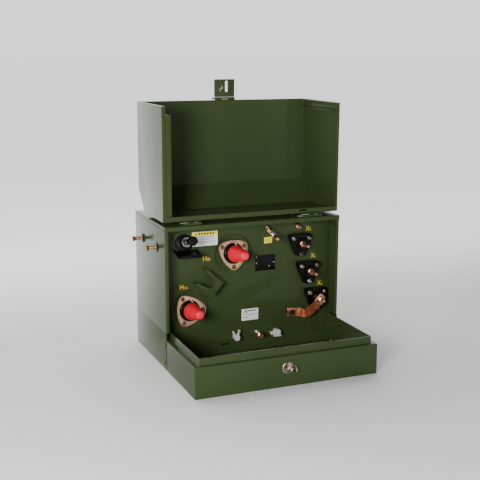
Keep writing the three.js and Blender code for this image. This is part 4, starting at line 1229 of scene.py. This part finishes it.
# ---- stage
def studio():
    camera = bpy.data.cameras.new("camera")
    camera.lens = LENS
    camera.sensor_width = SENSOR
    view = bpy.data.objects.new("camera", camera)
    turn = spin("Z", radians(AZIMUTH))
    tip = spin("X", radians(90 - ELEVATION))
    roll = spin("Z", radians(ROLL))
    view.location = CAMERA_AT
    view.rotation_euler = (turn @ tip @ roll).to_euler()
    show(view)
    bpy.context.scene.camera = view
    floor()
    sky()
    for settings in LAMPS:
        lamp(*settings)


def directions(tree, kind):
    """The three parts of a texture coordinate."""
    coords = tree.nodes.new("ShaderNodeTexCoord")
    split = tree.nodes.new("ShaderNodeSeparateXYZ")
    tree.links.new(coords.outputs[kind], split.inputs["Vector"])
    return split.outputs


def floor():
    material, tree, shader = new_material("floor")
    preset(shader, {"Base Color": (0.94, 0.94, 0.94, 1), "Roughness": 0.9})
    # behind the object the floor is lit from below, as a light table is
    preset(shader, {"Emission Color": (1, 1, 1, 1)})
    behind = directions(tree, "Object")["Y"]
    glow = remap(tree, behind, (0.3, 2.2), (0, FLOOR_GLOW), smooth=True)
    tree.links.new(glow, shader.inputs["Emission Strength"])
    part = bmesh.new()
    corners = rectangle(-FLOOR_HALF, FLOOR_HALF, -FLOOR_HALF, FLOOR_HALF)
    part.faces.new([part.verts.new((x, y, -1)) for x, y in corners])
    build("floor", material, Matrix.Scale(MM, 4), part)


def sky():
    """Bright behind the object and dim in front of it, as in a studio with a white wall."""
    world = bpy.data.worlds.new("world")
    world.use_nodes = True
    tree = world.node_tree
    way = directions(tree, "Generated")
    high = remap(tree, way["Y"], (-0.05, 0.8), (SKY_FRONT, SKY_BACK))
    # close to the horizon the sky has the floor's own tone, so that no edge shows there
    low = remap(tree, way["Y"], (-0.1, 0.75), (HORIZON / 3, HORIZON))
    rise = remap(tree, way["Z"], (0, 0.3), (0, 1), smooth=True)
    blend = tree.nodes.new("ShaderNodeMix")
    tree.links.new(low, blend.inputs["A"])
    tree.links.new(high, blend.inputs["B"])
    tree.links.new(rise, blend.inputs["Factor"])
    background = tree.nodes["Background"]
    background.inputs["Color"].default_value = (1, 1, 1, 1)
    tree.links.new(blend.outputs["Result"], background.inputs["Strength"])
    bpy.context.scene.world = world


def lamp(name, place, target, size, power):
    data = bpy.data.lights.new(name, "AREA")
    data.shape = "SQUARE"
    data.size = size
    data.energy = power
    light = bpy.data.objects.new(name, data)
    light.location = place
    direction = Vector(target) - Vector(place)
    light.rotation_euler = direction.to_track_quat("-Z", "Y").to_euler()
    show(light)


def repaint():
    """The CAD nodes that stay in view take a finished material."""
    looks = {"base_skirt": GREEN, "tank_floor": GREEN, "coil": PAPER}
    looks.update(core=CORE, core_base=CORE, core_yoke=CORE)
    for name, material in looks.items():
        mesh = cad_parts[name].data
        mesh.materials.clear()
        mesh.materials.append(material)


studio()
tank_walls()
side_channels()
cover()
front_plate()
lifting_bolts()
sill()
lock()
hood()
hinges()
hasp()
high_voltage()
low_voltage()
strap()
parking_stand()
labels()
relief_valve()
plugs()
connectors()
fuse()
repaint()
